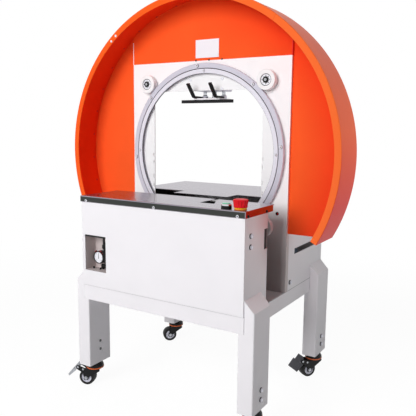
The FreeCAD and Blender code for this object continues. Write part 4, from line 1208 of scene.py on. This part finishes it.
def fastener_shells(centre, axis, radius, height):
    """A head's shells on the local +Z, by its kind and place, each with its finish."""
    if height < RIVET_HEIGHT:
        return [(screw_head(radius, height, radius * 0.1, 0.0001, 0.9), "orange_deep")]
    if radius > BOLT_RADIUS:
        head, washer = hex_head(radius * 1.18, height * 1.6)
        return [(head, "hub"), (washer, "dark_steel")]
    front_lip = centre[1] < LIP_FRONT and abs(centre[2] - LIP_LEVEL) < LIP_SPREAD
    side_lip = abs(axis[0]) > ALONG
    bright = front_lip or centre[2] > HIGH_SCREWS
    finish = "black" if side_lip else "dial" if bright else "zinc"
    shells = [(screw_head(radius, height, radius * 0.58, height * 0.7), finish)]
    if front_lip or side_lip:
        plug = bar((0, 0, 0), radius * 0.6, -PLUG_ROOT, height * 0.35, "z")
        shells.append((plug, "black" if front_lip else "chrome"))
    return shells


def build_fasteners():
    """Heads at the places, the sizes and the directions of the plain round solids."""
    parts = []
    for points in loose_parts("fasteners"):
        centre, axis, radius, height = round_facts(points)
        axis = axis * np.sign(axis @ fastener_way(centre, axis, height < RIVET_HEIGHT))
        base = centre - axis * height / 2
        parts += [(seated(shell, axis, base), finish)
                  for shell, finish in fastener_shells(centre, axis, radius, height)]
    stand_in("fasteners", parts)
    parts = []
    axis = np.array([0, -1.0, 0])
    for points in loose_parts("ring_bolts"):
        centre, _, radius, height = round_facts(points)
        base = centre - axis * height / 2
        head = screw_head(radius, height, radius * 0.5, height * 0.6, 0.25)
        plug = bar((0, 0, 0), radius * 0.53, -PLUG_ROOT, height * 0.42, "z")
        seat = bar((0, 0, 0), radius * 1.2, -PLUG_ROOT, 0.0003, "z")
        parts += [(seated(shell, axis, base), finish) for shell, finish
                  in ((head, "dial"), (plug, "bright_steel"), (seat, "aluminium_dark"))]
    stand_in("ring_bolts", parts)


# ---------------------------------------------------------------- controls and air set

def build_stop_button(sizes):
    """The stop button: a base with a real bore whose lower part is darker as painted shade, and a
    fluted head over a skirt.

    The head's radius grows with the level from the skirt's to the crown's by straight shares.
    """
    place, radius, low, foot = round_box("estop_base", "z")
    radius -= 0.0008
    waist, stem, bore = low + 0.0034, 0.0100, 0.0102
    # Painted shade: the base's lower part is a darker yellow, where it lies in shade.
    base = collar(bore, radius, low, waist, [0, 0.0008, 0.0002, 0], place, "z")
    rim = collar(bore, radius, waist, foot, [0, 0.0002, 0.0012, 0], place, "z")
    stand_in("estop_base", [(base, "yellow_painted_shade"), (rim, "yellow")])
    _, radius, low, crown = round_box("estop_head", "z")
    skirt, hem = foot + 0.0046, foot + 0.0012
    dip = sizes.flute_depth
    lower = radius * 0.9
    hollow = lower - 0.0011
    head = [(0.0001, low, 0), (stem, low, 0), (stem, skirt, 0), (hollow, skirt, 0),
            (hollow, hem, 0), (lower - 0.0003, hem, 0), (lower, hem + 0.0006, 0),
            (lower, skirt, 0), (lower + 0.0002, skirt + 0.002, dip)]
    for share in np.linspace(0.15, 1.0, 6):
        head.append((lower + (radius - lower) * share, skirt + 0.002 + 0.0115 * share, dip))
    head += [(radius, crown - 0.0042, dip * 0.4), (radius - 0.0006, crown - 0.0026, 0),
             (radius - 0.0022, crown - 0.0012, 0), (radius - 0.0055, crown - 0.0003, 0),
             (radius * 0.4, crown, 0), (0.0001, crown, 0)]
    stand_in("estop_head", [(fluted(head, place, "z", 15), "red")])


def build_start_button():
    """The start button: a black body, a bright collar round a bore, and a low domed cap."""
    place, radius, low, top = round_box("button_bezel", "z")
    cap_radius, foot, crown = round_box("button_cap", "z")[1:]
    bore, waist = cap_radius + 0.00005, low + 0.0078
    body = collar(bore, radius, low, waist, [0, 0.0005, 0.0006, 0], place, "z")
    bright = turned([(bore, waist), (radius - 0.0004, waist), (radius - 0.0004, top - 0.001),
                     (radius - 0.0022, top), (bore, top)],
                    [0, 0.0004, 0.0015, 0.0008, 0.0003], place, "z")
    stand_in("button_bezel", [(body, "black"), (bright, "chrome")])
    cap = turned([(0, foot), (cap_radius, foot), (cap_radius, crown - 0.0006),
                  (cap_radius * 0.55, crown), (0, crown)], [0, 0, 0.0007, 0.004, 0], place, "z",
                 closed=False)
    stand_in("button_cap", [(cap, "green")])


def build_gauge():
    """The gauge: a case with a sunk face, a dial, 31 ticks over 270 degrees and colour tabs.

    A tick's corners are its way times its start or end radius, plus or minus half its width
    times the way square to it.
    """
    place, radius, face, wall = round_box("gauge_case", "y")
    floor = face + 0.0025
    case = turned([(0, floor), (radius - 0.0025, floor), (radius - 0.0025, face),
                   (radius, face), (radius, wall), (0, wall)],
                  [0, 0, 0.0008, 0.0014, 0.001, 0], place, "y", 72, closed=False)
    dial = collar(0, radius - 0.0026, floor - 0.0002, floor + 0.0001, 0, place, "y", 72)
    parts = [(case, "black"), (dial, "dial")]
    for index in range(31):
        angle = math.radians(225 - 9 * index)
        long = index % 5 == 0
        start, end = radius - (0.0075 if long else 0.0058), radius - 0.0036
        way = np.array([math.cos(angle), math.sin(angle)])
        side = np.array([-way[1], way[0]]) * (0.00032 if long else 0.0002)
        outline = np.array([way * start - side, way * end - side, way * end + side,
                            way * start + side]) + place[[0, 2]]
        parts.append((prism(outline, "y", floor - 0.00032, floor - 0.0001), "ink"))
    for start, end in ((28, 46), (60, 78), (116, 130)):
        tab = revolved([(radius - 0.001, face + 0.001), (radius + 0.003, face + 0.001),
                        (radius + 0.003, face + 0.006), (radius - 0.001, face + 0.006)],
                       place, "y", start, end, steps=12)
        parts.append((tab, "red_deep"))
    detail("gauge_detail", parts, "gauge_case")


def build_air_line():
    """The line beside the gauge: a straight hose into an elbow, fittings, a clip and plugs.

    The elbow's quarter circle is its radius times (1 - cos t) across and sin t down.
    """
    low, high = low_high("gauge_case")
    centre = middle("gauge_case")
    face, level, elbow_radius, count = low[1], centre[2], 0.012, 9
    hose_x, hose_y = centre[0] + 0.0205, face + 0.005
    turn = np.linspace(0, math.pi / 2, count)
    bend = np.stack([hose_x + elbow_radius * (1 - np.cos(turn)), np.full(count, hose_y),
                     level - elbow_radius * np.sin(turn)], -1)
    straight = np.stack([np.full(count, hose_x), np.full(count, hose_y),
                         np.linspace(high[2] + 0.043, level, count)], -1)
    elbow = np.vstack([straight[-2:], bend[1:]])
    parts = [(tube(straight, 0.0035), "black_dull"), (tube(elbow, 0.0044), "black")]
    for above, tall in ((0.036, 0.012), (0.012, 0.020)):
        corner = np.array([hose_x - 0.0055, hose_y - 0.004, level + above - tall / 2])
        fitting = block(corner, corner + np.array([0.013, 0.010, tall]), 0.002, 0.0005, "z")
        parts.append((fitting, "black"))
    clip = bar((hose_x, 0, level + 0.0265), 0.0018, hose_y - 0.0055, hose_y, "y", 0.0005, 16)
    parts.append((clip, "zinc"))
    low, high = low_high("window_box")
    floor = low[2] + 0.0015
    for x, y in ((-0.018, 0.0), (0.0096, 0.0), (0.0062, 0.012), (0.0156, 0.006)):
        plug = bar((centre[0] + x, face + y, 0), 0.0032, floor, floor + 0.006, "z", 0.001, 16)
        parts.append((plug, "black_dull"))
    # A dark strip under the window's top edge: painted shadow of the sheet above the opening.
    strip = block((low[0] + 0.0015, low[1] + 0.0002, high[2] - 0.0075),
                  (high[0] - 0.0015, low[1] + 0.0022, high[2] - 0.0015))
    parts.append((strip, "black_dull"))
    detail("air_hose", parts, shown="window_box")


def build_knob():
    """The regulator's knob, with twenty shallow flutes."""
    place, radius, low, high = round_box("regulator_knob", "z")
    profile = [(0.0001, low, 0), (radius, low, 0.0002), (radius, low + 0.002, 0.0007),
               (radius, high - 0.003, 0.0007), (radius - 0.0008, high - 0.001, 0),
               (radius - 0.0025, high, 0), (0.0001, high, 0)]
    stand_in("regulator_knob", [(fluted(profile, place, "z", 20), "black_dull")])


# ---------------------------------------------------------------- press, ring and rollers

def build_press(sizes):
    """The press pad, its plate with bushes, screws and a rail, and the two bent fingers.

    A finger's path is two straight runs of points that meet near its knee.
    """
    low, high = low_high("press_pad")
    low = low - np.array([0.003, 0, 0.0008])
    stand_in("press_pad", [(block(low, high, 0.004, 0.0008, "z"), "foam")])
    low, high = low_high("press_plate")
    parts = [(block(low, high, 0.004, 0.0006, "z"), "white_soft")]
    axis, level = middle("press_rods")[1], high[2]
    collar, ring, screw = level + 0.010, level + 0.012, level + 0.0045
    for x in (-0.035, 0.035):
        parts.append((bar((x, axis, 0), 0.0095, level, collar, "z", 0.0008), "hub"))
        parts.append((bar((x, axis, 0), 0.0065, collar, ring, "z", 0.0004), "black"))
    for x in (-0.020, 0.020):
        parts.append((bar((x, axis - 0.012, 0), 0.0032, level, screw, "z", 0.0006), "black"))
    rail = block((-0.03, axis - 0.004, level), (0.03, axis + 0.004, level + 0.004))
    parts.append((rail, "zinc"))
    stand_in("press_plate", parts)
    parts = []
    thick, rib_depth = 0.0068, 0.0012
    for points in loose_parts("press_fingers"):
        low, high = points.min(0), points.max(0)
        x = (low[0] + high[0]) / 2
        foot = np.array([x, high[1], low[2] + thick / 2])
        knee = np.array([x, high[1] - 0.045, low[2] + thick / 2])
        tip = np.array([x, low[1] + 0.0016, high[2] - 0.0016])
        rise = tip - knee
        first = np.linspace(0, 1, 40)[:, None] * (knee - foot) * 0.93 + foot
        last = np.linspace(0, 1, 70)[:, None] * rise * 0.92 + knee + rise * 0.08
        path = np.vstack([first, (knee + rise * 0.01)[None], last])
        strip = ribbed_strip(path, high[0] - low[0], thick, sizes.rib_step, rib_depth)
        parts.append((strip, "black"))
    stand_in("press_fingers", parts)


def build_ring(sizes):
    """The ring: an outer band with a seat and a groove, an inner band, a dark ring in the groove
    as painted shadow, and a lip.

    Every part is a section carried round the ring's axis.
    """
    centre = middle("ring_outer")
    place = np.array([0, 0, centre[2]])
    low, high = low_high("ring_outer")
    radius, front, back = high[0], low[1], high[1]
    seat = nearest_to_axis("ring_outer", centre)
    bore = nearest_to_axis("ring_inner", centre)
    inner_high = low_high("ring_inner")[1]
    groove, step, rim = inner_high[0] + 0.0004, inner_high[1], sizes.rim
    outer = turned([(radius, front), (radius, back), (seat, back), (seat, step),
                    (groove, step), (groove, front)],
                   [0.0016, rim, rim, 0, 0, 0.0009], place, "y", 192)
    stand_in("ring_outer", [(outer, "aluminium")])
    edge = groove - 0.0021
    band = collar(bore, edge, front, step, [0.0018, 0.0007, 0, rim], place, "y", 192)
    # Painted shadow: a dark ring in the groove between the bands.
    line = collar(edge - 0.0006, groove - 0.0001, front + 0.0026, step, 0, place, "y", 192)
    lip = revolved([(bore + 0.0002, front + 0.0012), (bore + 0.0002, step),
                    (bore - 0.0003, step), (bore - 0.0003, front + 0.0012)],
                   place, "y", steps=192)
    stand_in("ring_inner", [(band, "aluminium_light"), (line, "ink"), (lip, "aluminium_dark")])


def build_rollers():
    """Four rollers, each a tyre, a core and a bearing with eight balls, and the bolt sockets.

    A ball is on the circle between the two races, at every eighth of a turn.
    """
    pin, seat, ball_circle = 0.0062, 0.0175, 0.0123
    for name in CORNERS:
        node = "roller_" + name
        place, radius, front, back = round_box(node, "y")
        hub = front + 0.002
        tyre = collar(seat, radius, front, back, [0.0008, 0.0025, 0.0025, 0.0004], place, "y",
                      96)
        core = collar(pin, seat + 0.0001, hub + 0.0004, back, 0, place, "y")
        race = collar(0.0100, 0.0158, hub - 0.0004, hub + 0.001, 0.0003, place, "y")
        inner = collar(pin, 0.0094, hub - 0.0002, hub + 0.001, 0.0003, place, "y")
        balls = []
        for angle in math.pi / 4 * np.arange(8):
            spot = (place[0] + ball_circle * math.cos(angle), 0,
                    place[2] + ball_circle * math.sin(angle))
            balls.append((bar(spot, 0.0013, hub - 0.0006, hub, "y", 0.0002, 12),
                          "aluminium_dark"))
        stand_in(node, [(tyre, "tyre"), (core, "dark_steel"), (race, "dial"),
                        (inner, "grey_plastic")] + balls)
    face = low_high("roller_mounts")[0][1]
    sockets = [(bar(middle("roller_" + name), 0.0044, face - 0.0006, face + 0.001, "y", 0.0003,
                    24), "zinc") for name in CORNERS]
    detail("mount_sockets", sockets, shown="roller_mounts")


def build_film():
    """The film roll: a turned film body on a turned core that stands out at both ends."""
    place, radius, front, back = round_box("film_roll", "y")
    bore, core, inside = 0.01205, 0.0155, 0.001
    film = collar(core, radius, front + inside, back - inside, 0.0012, place, "y", 96)
    sleeve = collar(bore, core, front, back, 0.0004, place, "y")
    stand_in("film_roll", [(film, "film"), (sleeve, "core")])


# ---------------------------------------------------------------- casters

HALF_WHEEL = 0.015                      # half the wheel's width
FORK_SHEET = 0.0025
FORK_HANG = HALF_WHEEL + 0.001          # from the wheel's middle to a cheek's inner face
CHEEK_FACE = FORK_HANG + FORK_SHEET
EYE = 0.008                             # from the axle to the edge of a cheek's eye
SEAL_HEIGHT = 0.004
HEAD_BORE = 0.0051
KING_TOP = 0.081                        # where the fork's king pin ends


def build_casters(sizes):
    """The dished heads with their seals and nuts, and the caster that stands under each."""
    heads, swivels = [], []
    for points in loose_parts("caster_heads"):
        centre, _, radius, height = round_facts(points)
        place = np.array([centre[0], centre[1], 0])
        low, high = centre[2] - height / 2, centre[2] + height / 2
        swivels.append(centre[:2])
        rim = low + SEAL_HEIGHT
        dish = turned([(HEAD_BORE, rim), (radius - 0.0006, rim), (radius, rim + 0.003),
                       (radius - 0.001, rim + 0.007), (radius - 0.0065, high - 0.003),
                       (radius - 0.0075, high), (HEAD_BORE, high)],
                      [0, 0.0006, 0.002, 0.004, 0.004, 0.001, 0], place, "z", 72)
        heads.append((dish, "black"))
        for degrees in (35, 215):
            angle = math.radians(degrees)
            spot = place + np.array([math.cos(angle), math.sin(angle), 0]) * (radius - 0.006)
            heads.append((bar(spot, 0.0032, rim + 0.004, rim + 0.0095, "z", 0.0006, 6), "zinc"))
        seal = collar(HEAD_BORE, radius + 0.0006, low, rim, [0, 0.0012, 0.0008, 0], place, "z",
                      72)
        heads.append((seal, "seal"))
    stand_in("caster_heads", heads)
    for name in CASTERS:
        build_caster(sizes, name, np.array(swivels))


def build_caster(sizes, name, swivels):
    """One caster in its own axes: X towards the wheel, Y along the axle.

    Then it is turned about the nearest swivel, by the angle of the wheel's place from there.
    """
    wheel_low, wheel_high = low_high("wheel_" + name)
    hub = (wheel_low + wheel_high) / 2
    swivel = swivels[np.argmin(np.linalg.norm(swivels - hub[:2], axis=1))]
    heading = turn_matrix(math.degrees(math.atan2(hub[1] - swivel[1], hub[0] - swivel[0])))
    trail, axle = np.linalg.norm(hub[:2] - swivel), hub[2]
    shift = np.array([swivel[0], swivel[1], 0])

    def add(label, parts):
        """One piece of this caster, turned and shifted to its place."""
        stand_in(label + "_" + name,
                 [(moved(shell, heading, shift), finish) for shell, finish in parts])

    add("wheel", wheel_parts(sizes, (wheel_high[2] - wheel_low[2]) / 2, trail, axle))
    braked = "pedal_" + name in frame["nodes"]
    add("fork", fork_parts(trail, axle, braked))
    if braked:
        add("pedal", pedal_parts("zinc" if name == "front_left" else "pedal_grey"))


def wheel_parts(sizes, radius, trail, axle):
    """A domed tread and a dished hub, both turned about the axle."""
    half, hub = HALF_WHEEL, sizes.hub_radius
    tread = rounded([(hub, -half), (radius - 0.001, -half), (radius, 0),
                     (radius - 0.001, half), (hub, half)],
                    [0.001, 0.0035, 0.02, 0.0035, 0.001], 5)
    dish = [(0.00405, 0.0035), (0.0075, 0.0035), (0.0075, 0.0006), (0.0095, 0.0006),
            (0.011, 0.0045), (0.0145, 0.0045), (0.0155, 0.0008), (0.0167, 0.0008)]
    disc = ([(size, -half + depth) for size, depth in dish]
            + [(size, half - depth) for size, depth in dish[::-1]])
    shells = (revolved(profile, np.zeros(3), "y", steps=72) for profile in (tread, disc))
    return [(moved(shell, np.eye(3), (trail, 0, axle)), finish)
            for shell, finish in zip(shells, ("rubber", "hub"))]


def fork_parts(trail, axle, braked):
    """Two cheeks, a crown with its king pin, and an axle with bolt heads.

    A cheek is an outline in the XZ plane carried through the sheet's thickness. The cheeks of
    a caster with a brake reach back to its pedal.
    """
    top = low_high("caster_heads")[0][2] - 0.0003
    cheek = [(-0.022, top - 0.002), (-0.022, top - 0.008), (trail - EYE, axle + 0.001),
             (trail - EYE, axle - EYE), (trail + EYE, axle - EYE), (trail + EYE, axle + 0.001)]
    corner = [0.002, 0.006, 0.006, 0.0075, 0.0075, 0.008]
    if braked:
        cheek += [(trail + EYE + 0.004, 0.043), (0.060, 0.055), (0.060, 0.0658),
                  (0.048, 0.0658), (0.030, top - 0.002)]
        corner += [0.006, 0.004, 0.004, 0.004, 0.002]
    else:
        cheek += [(0.022, top - 0.002)]
        corner += [0.002]
    outline = rounded(cheek, corner, 5)
    parts = [(prism(outline, "y", near, near + FORK_SHEET, 0.0006), "black")
             for near in (-CHEEK_FACE, FORK_HANG)]
    crown = turned([(0, top - 0.007), (0.0185, top - 0.007), (0.022, top - 0.003),
                    (0.022, top), (0, top)], [0, 0.002, 0.003, 0.0005, 0], np.zeros(3), "z",
                   closed=False)
    parts.append((crown, "black"))
    parts.append((bar((0, 0, 0), 0.005, top, KING_TOP, "z"), "zinc"))
    pin = CHEEK_FACE + 0.0005
    parts.append((bar((trail, 0, axle), 0.004, -pin, pin, "y"), "zinc"))
    for side in (-1, 1):
        way, face = (0, side, 0), side * CHEEK_FACE
        for shell in hex_head(0.0058, 0.003):
            parts.append((seated(shell, way, (trail, face, axle)), "zinc"))
        if braked:
            rivet = screw_head(0.0034, 0.0016, 0.0004, 0.0001, 0.9)
            parts.append((seated(rivet, way, (0.036, face, 0.0555)), "zinc"))
    return parts


def pedal_parts(finish):
    """A bent brake pedal: a neck over the wheel and a wide plate that slopes down and out.

    Its plates are carried along the slope from the top to the tip. Flanges and ears stand
    square to the pivot's pin.
    """
    pivot_x, pivot_z = 0.054, 0.061
    top = np.array([pivot_x - 0.004, pivot_z + 0.015])
    tip = np.array([pivot_x + 0.031, pivot_z - 0.027])
    slope = (tip - top) / np.linalg.norm(tip - top)
    bend = top + slope * (0.014 / slope[0])
    half_sheet = FORK_SHEET / 2

    def plate(start, end, half, corner):
        """A flat plate from one place on the slope to another, turned to lie along it."""
        long = np.linalg.norm(end - start)
        outline = rounded(rectangle(0, long, -half, half), [0.001, corner, corner, 0.001], 5)
        shell = prism(outline, "z", -half_sheet, half_sheet, 0.0005)
        along = np.array([[slope[0], 0, -slope[1]], [0, 1, 0], [slope[1], 0, slope[0]]])
        return moved(shell, along, (start[0] + half_sheet, 0, start[1] + half_sheet))

    parts = [plate(top, bend + slope * 0.003, FORK_HANG - 0.001, 0.001),
             plate(bend, tip, 0.025, 0.003)]
    under = np.array([slope[1], -slope[0]])
    flange = rounded([bend, tip, tip + under * 0.004, bend + under * 0.009], 0.0012)
    parts += [prism(flange, "y", near, near + 0.002, 0.0003) for near in (-0.0247, 0.0227)]
    ear = rounded([top, bend, (pivot_x + 0.0045, pivot_z - 0.004),
                   (pivot_x - 0.0045, pivot_z - 0.004)], 0.002)
    parts += [prism(ear, "y", near, near + FORK_SHEET, 0.0003)
              for near in (-FORK_HANG + 0.001, FORK_HANG - 0.001 - FORK_SHEET)]
    dressed = [(shell, finish) for shell in parts]
    dressed.append((bar((pivot_x, 0, pivot_z), 0.003, -CHEEK_FACE, CHEEK_FACE, "y"), "zinc"))
    rivet = screw_head(0.0036, 0.0016, 0.0004, 0.0001, 0.9)
    for side in (-1, 1):
        spot = (pivot_x, side * CHEEK_FACE, pivot_z)
        dressed.append((seated(rivet, (0, side, 0), spot), "zinc"))
    return dressed


# ---------------------------------------------------------------- operators and panel

# The finishes of the nodes that are shown as they are packed.
KEPT = {
    "white": ("cross_beams", "side_rails"),
    "panel": ("upright_panel",),
    "dial": ("blank_plate",),
    "front_cabinet": ("front_cabinet",),
    "rear_cabinet": ("rear_cabinet",),
    "rear_cover": ("rear_cover",),
    "deck": ("floor_plate",),
    "window": ("window_box",),
    "orange_back": ("hood_back_left", "hood_back_right", "upper_panel"),
    "black": ("regulator_body", "drive_belt", "roller_mounts"),
    "ink": ("gauge_needle",),
    "aluminium": ("press_bracket", "carriage_plate"),
    "bright_steel": ("press_cylinder", "film_spindle"),
    "chrome": ("press_rods",),
    "zinc": ("drive_shaft",),
    "aluminium_dark": ("drive_pulley", "motor_pulley"),
    "motor": ("motor",),
}


class WRAPPER_OT_finishes(bpy.types.Operator):
    """Makes all finishes and puts them on the nodes that are kept."""
    bl_idname = "wrapper.finishes"
    bl_label = "Finishes"
    bl_options = {"REGISTER", "UNDO"}

    def execute(self, context):
        make_finishes(context.scene.wrapper_colours)
        for finish, nodes in KEPT.items():
            dress(nodes, finish)
        return {"FINISHED"}


class WRAPPER_OT_stage(bpy.types.Operator):
    """Builds the world, the floor, the camera and the lights."""
    bl_idname = "wrapper.stage"
    bl_label = "Stage"
    bl_options = {"REGISTER", "UNDO"}

    def execute(self, context):
        view = context.scene.wrapper_view
        build_world(view)
        build_floor()
        build_camera(view)
        build_lights(view)
        context.scene.view_settings.view_transform = "Standard"
        return {"FINISHED"}


class WRAPPER_OT_hood(bpy.types.Operator):
    """Builds the rolled hood sheets with their folded lip, and the panels' trim."""
    bl_idname = "wrapper.hood"
    bl_label = "Hood"
    bl_options = {"REGISTER", "UNDO"}

    def execute(self, context):
        build_hood(context.scene.wrapper_sizes)
        build_panel_trim()
        return {"FINISHED"}


class WRAPPER_OT_frame(bpy.types.Operator):
    """Builds the legs, the folded tables and the screws."""
    bl_idname = "wrapper.frame"
    bl_label = "Frame and tables"
    bl_options = {"REGISTER", "UNDO"}

    def execute(self, context):
        build_legs(context.scene.wrapper_sizes)
        build_tables(context.scene.wrapper_sizes)
        build_fasteners()
        return {"FINISHED"}


class WRAPPER_OT_controls(bpy.types.Operator):
    """Builds the two buttons, the gauge with its air line and the regulator's knob."""
    bl_idname = "wrapper.controls"
    bl_label = "Controls"
    bl_options = {"REGISTER", "UNDO"}

    def execute(self, context):
        build_stop_button(context.scene.wrapper_sizes)
        build_start_button()
        build_gauge()
        build_air_line()
        build_knob()
        return {"FINISHED"}


class WRAPPER_OT_press(bpy.types.Operator):
    """Builds the press plate, its pad and its ribbed fingers."""
    bl_idname = "wrapper.press"
    bl_label = "Press"
    bl_options = {"REGISTER", "UNDO"}

    def execute(self, context):
        build_press(context.scene.wrapper_sizes)
        return {"FINISHED"}


class WRAPPER_OT_ring(bpy.types.Operator):
    """Builds the wrapping ring, the rollers and the film roll."""
    bl_idname = "wrapper.ring"
    bl_label = "Ring and film"
    bl_options = {"REGISTER", "UNDO"}

    def execute(self, context):
        build_ring(context.scene.wrapper_sizes)
        build_rollers()
        build_film()
        return {"FINISHED"}


class WRAPPER_OT_casters(bpy.types.Operator):
    """Builds the four casters and the two brake pedals."""
    bl_idname = "wrapper.casters"
    bl_label = "Casters"
    bl_options = {"REGISTER", "UNDO"}

    def execute(self, context):
        build_casters(context.scene.wrapper_sizes)
        return {"FINISHED"}


OPERATORS = (WRAPPER_OT_finishes, WRAPPER_OT_stage, WRAPPER_OT_hood, WRAPPER_OT_frame,
             WRAPPER_OT_controls, WRAPPER_OT_press, WRAPPER_OT_ring, WRAPPER_OT_casters)


class WRAPPER_PT_panel(bpy.types.Panel):
    """The settings and the steps, in the sidebar."""
    bl_label = "Film wrapper"
    bl_idname = "WRAPPER_PT_panel"
    bl_space_type = "VIEW_3D"
    bl_region_type = "UI"
    bl_category = "Wrapper"

    def draw(self, context):
        """Every setting in a box of its group, and then a button for each step."""
        for group in (context.scene.wrapper_colours, context.scene.wrapper_sizes,
                      context.scene.wrapper_view):
            box = self.layout.box()
            for name in group.bl_rna.properties.keys():
                if name not in ("rna_type", "name"):
                    box.prop(group, name)
        for operator in OPERATORS:
            self.layout.operator(operator.bl_idname)


CLASSES = (WrapperColours, WrapperSizes, WrapperView) + OPERATORS + (WRAPPER_PT_panel,)


def register():
    """Registers the classes and puts the settings on the scene."""
    for cls in CLASSES:
        bpy.utils.register_class(cls)
    bpy.types.Scene.wrapper_colours = bpy.props.PointerProperty(type=WrapperColours)
    bpy.types.Scene.wrapper_sizes = bpy.props.PointerProperty(type=WrapperSizes)
    bpy.types.Scene.wrapper_view = bpy.props.PointerProperty(type=WrapperView)


def unregister():
    """Takes the settings off the scene and unregisters the classes."""
    for name in ("wrapper_view", "wrapper_sizes", "wrapper_colours"):
        delattr(bpy.types.Scene, name)
    for cls in reversed(CLASSES):
        bpy.utils.unregister_class(cls)


def main():
    """Builds the scene in order."""
    register()
    bpy.ops.wrapper.finishes()
    bpy.ops.wrapper.stage()
    bpy.ops.wrapper.hood()
    bpy.ops.wrapper.frame()
    bpy.ops.wrapper.controls()
    bpy.ops.wrapper.press()
    bpy.ops.wrapper.ring()
    bpy.ops.wrapper.casters()


if __name__ == "__main__":
    main()
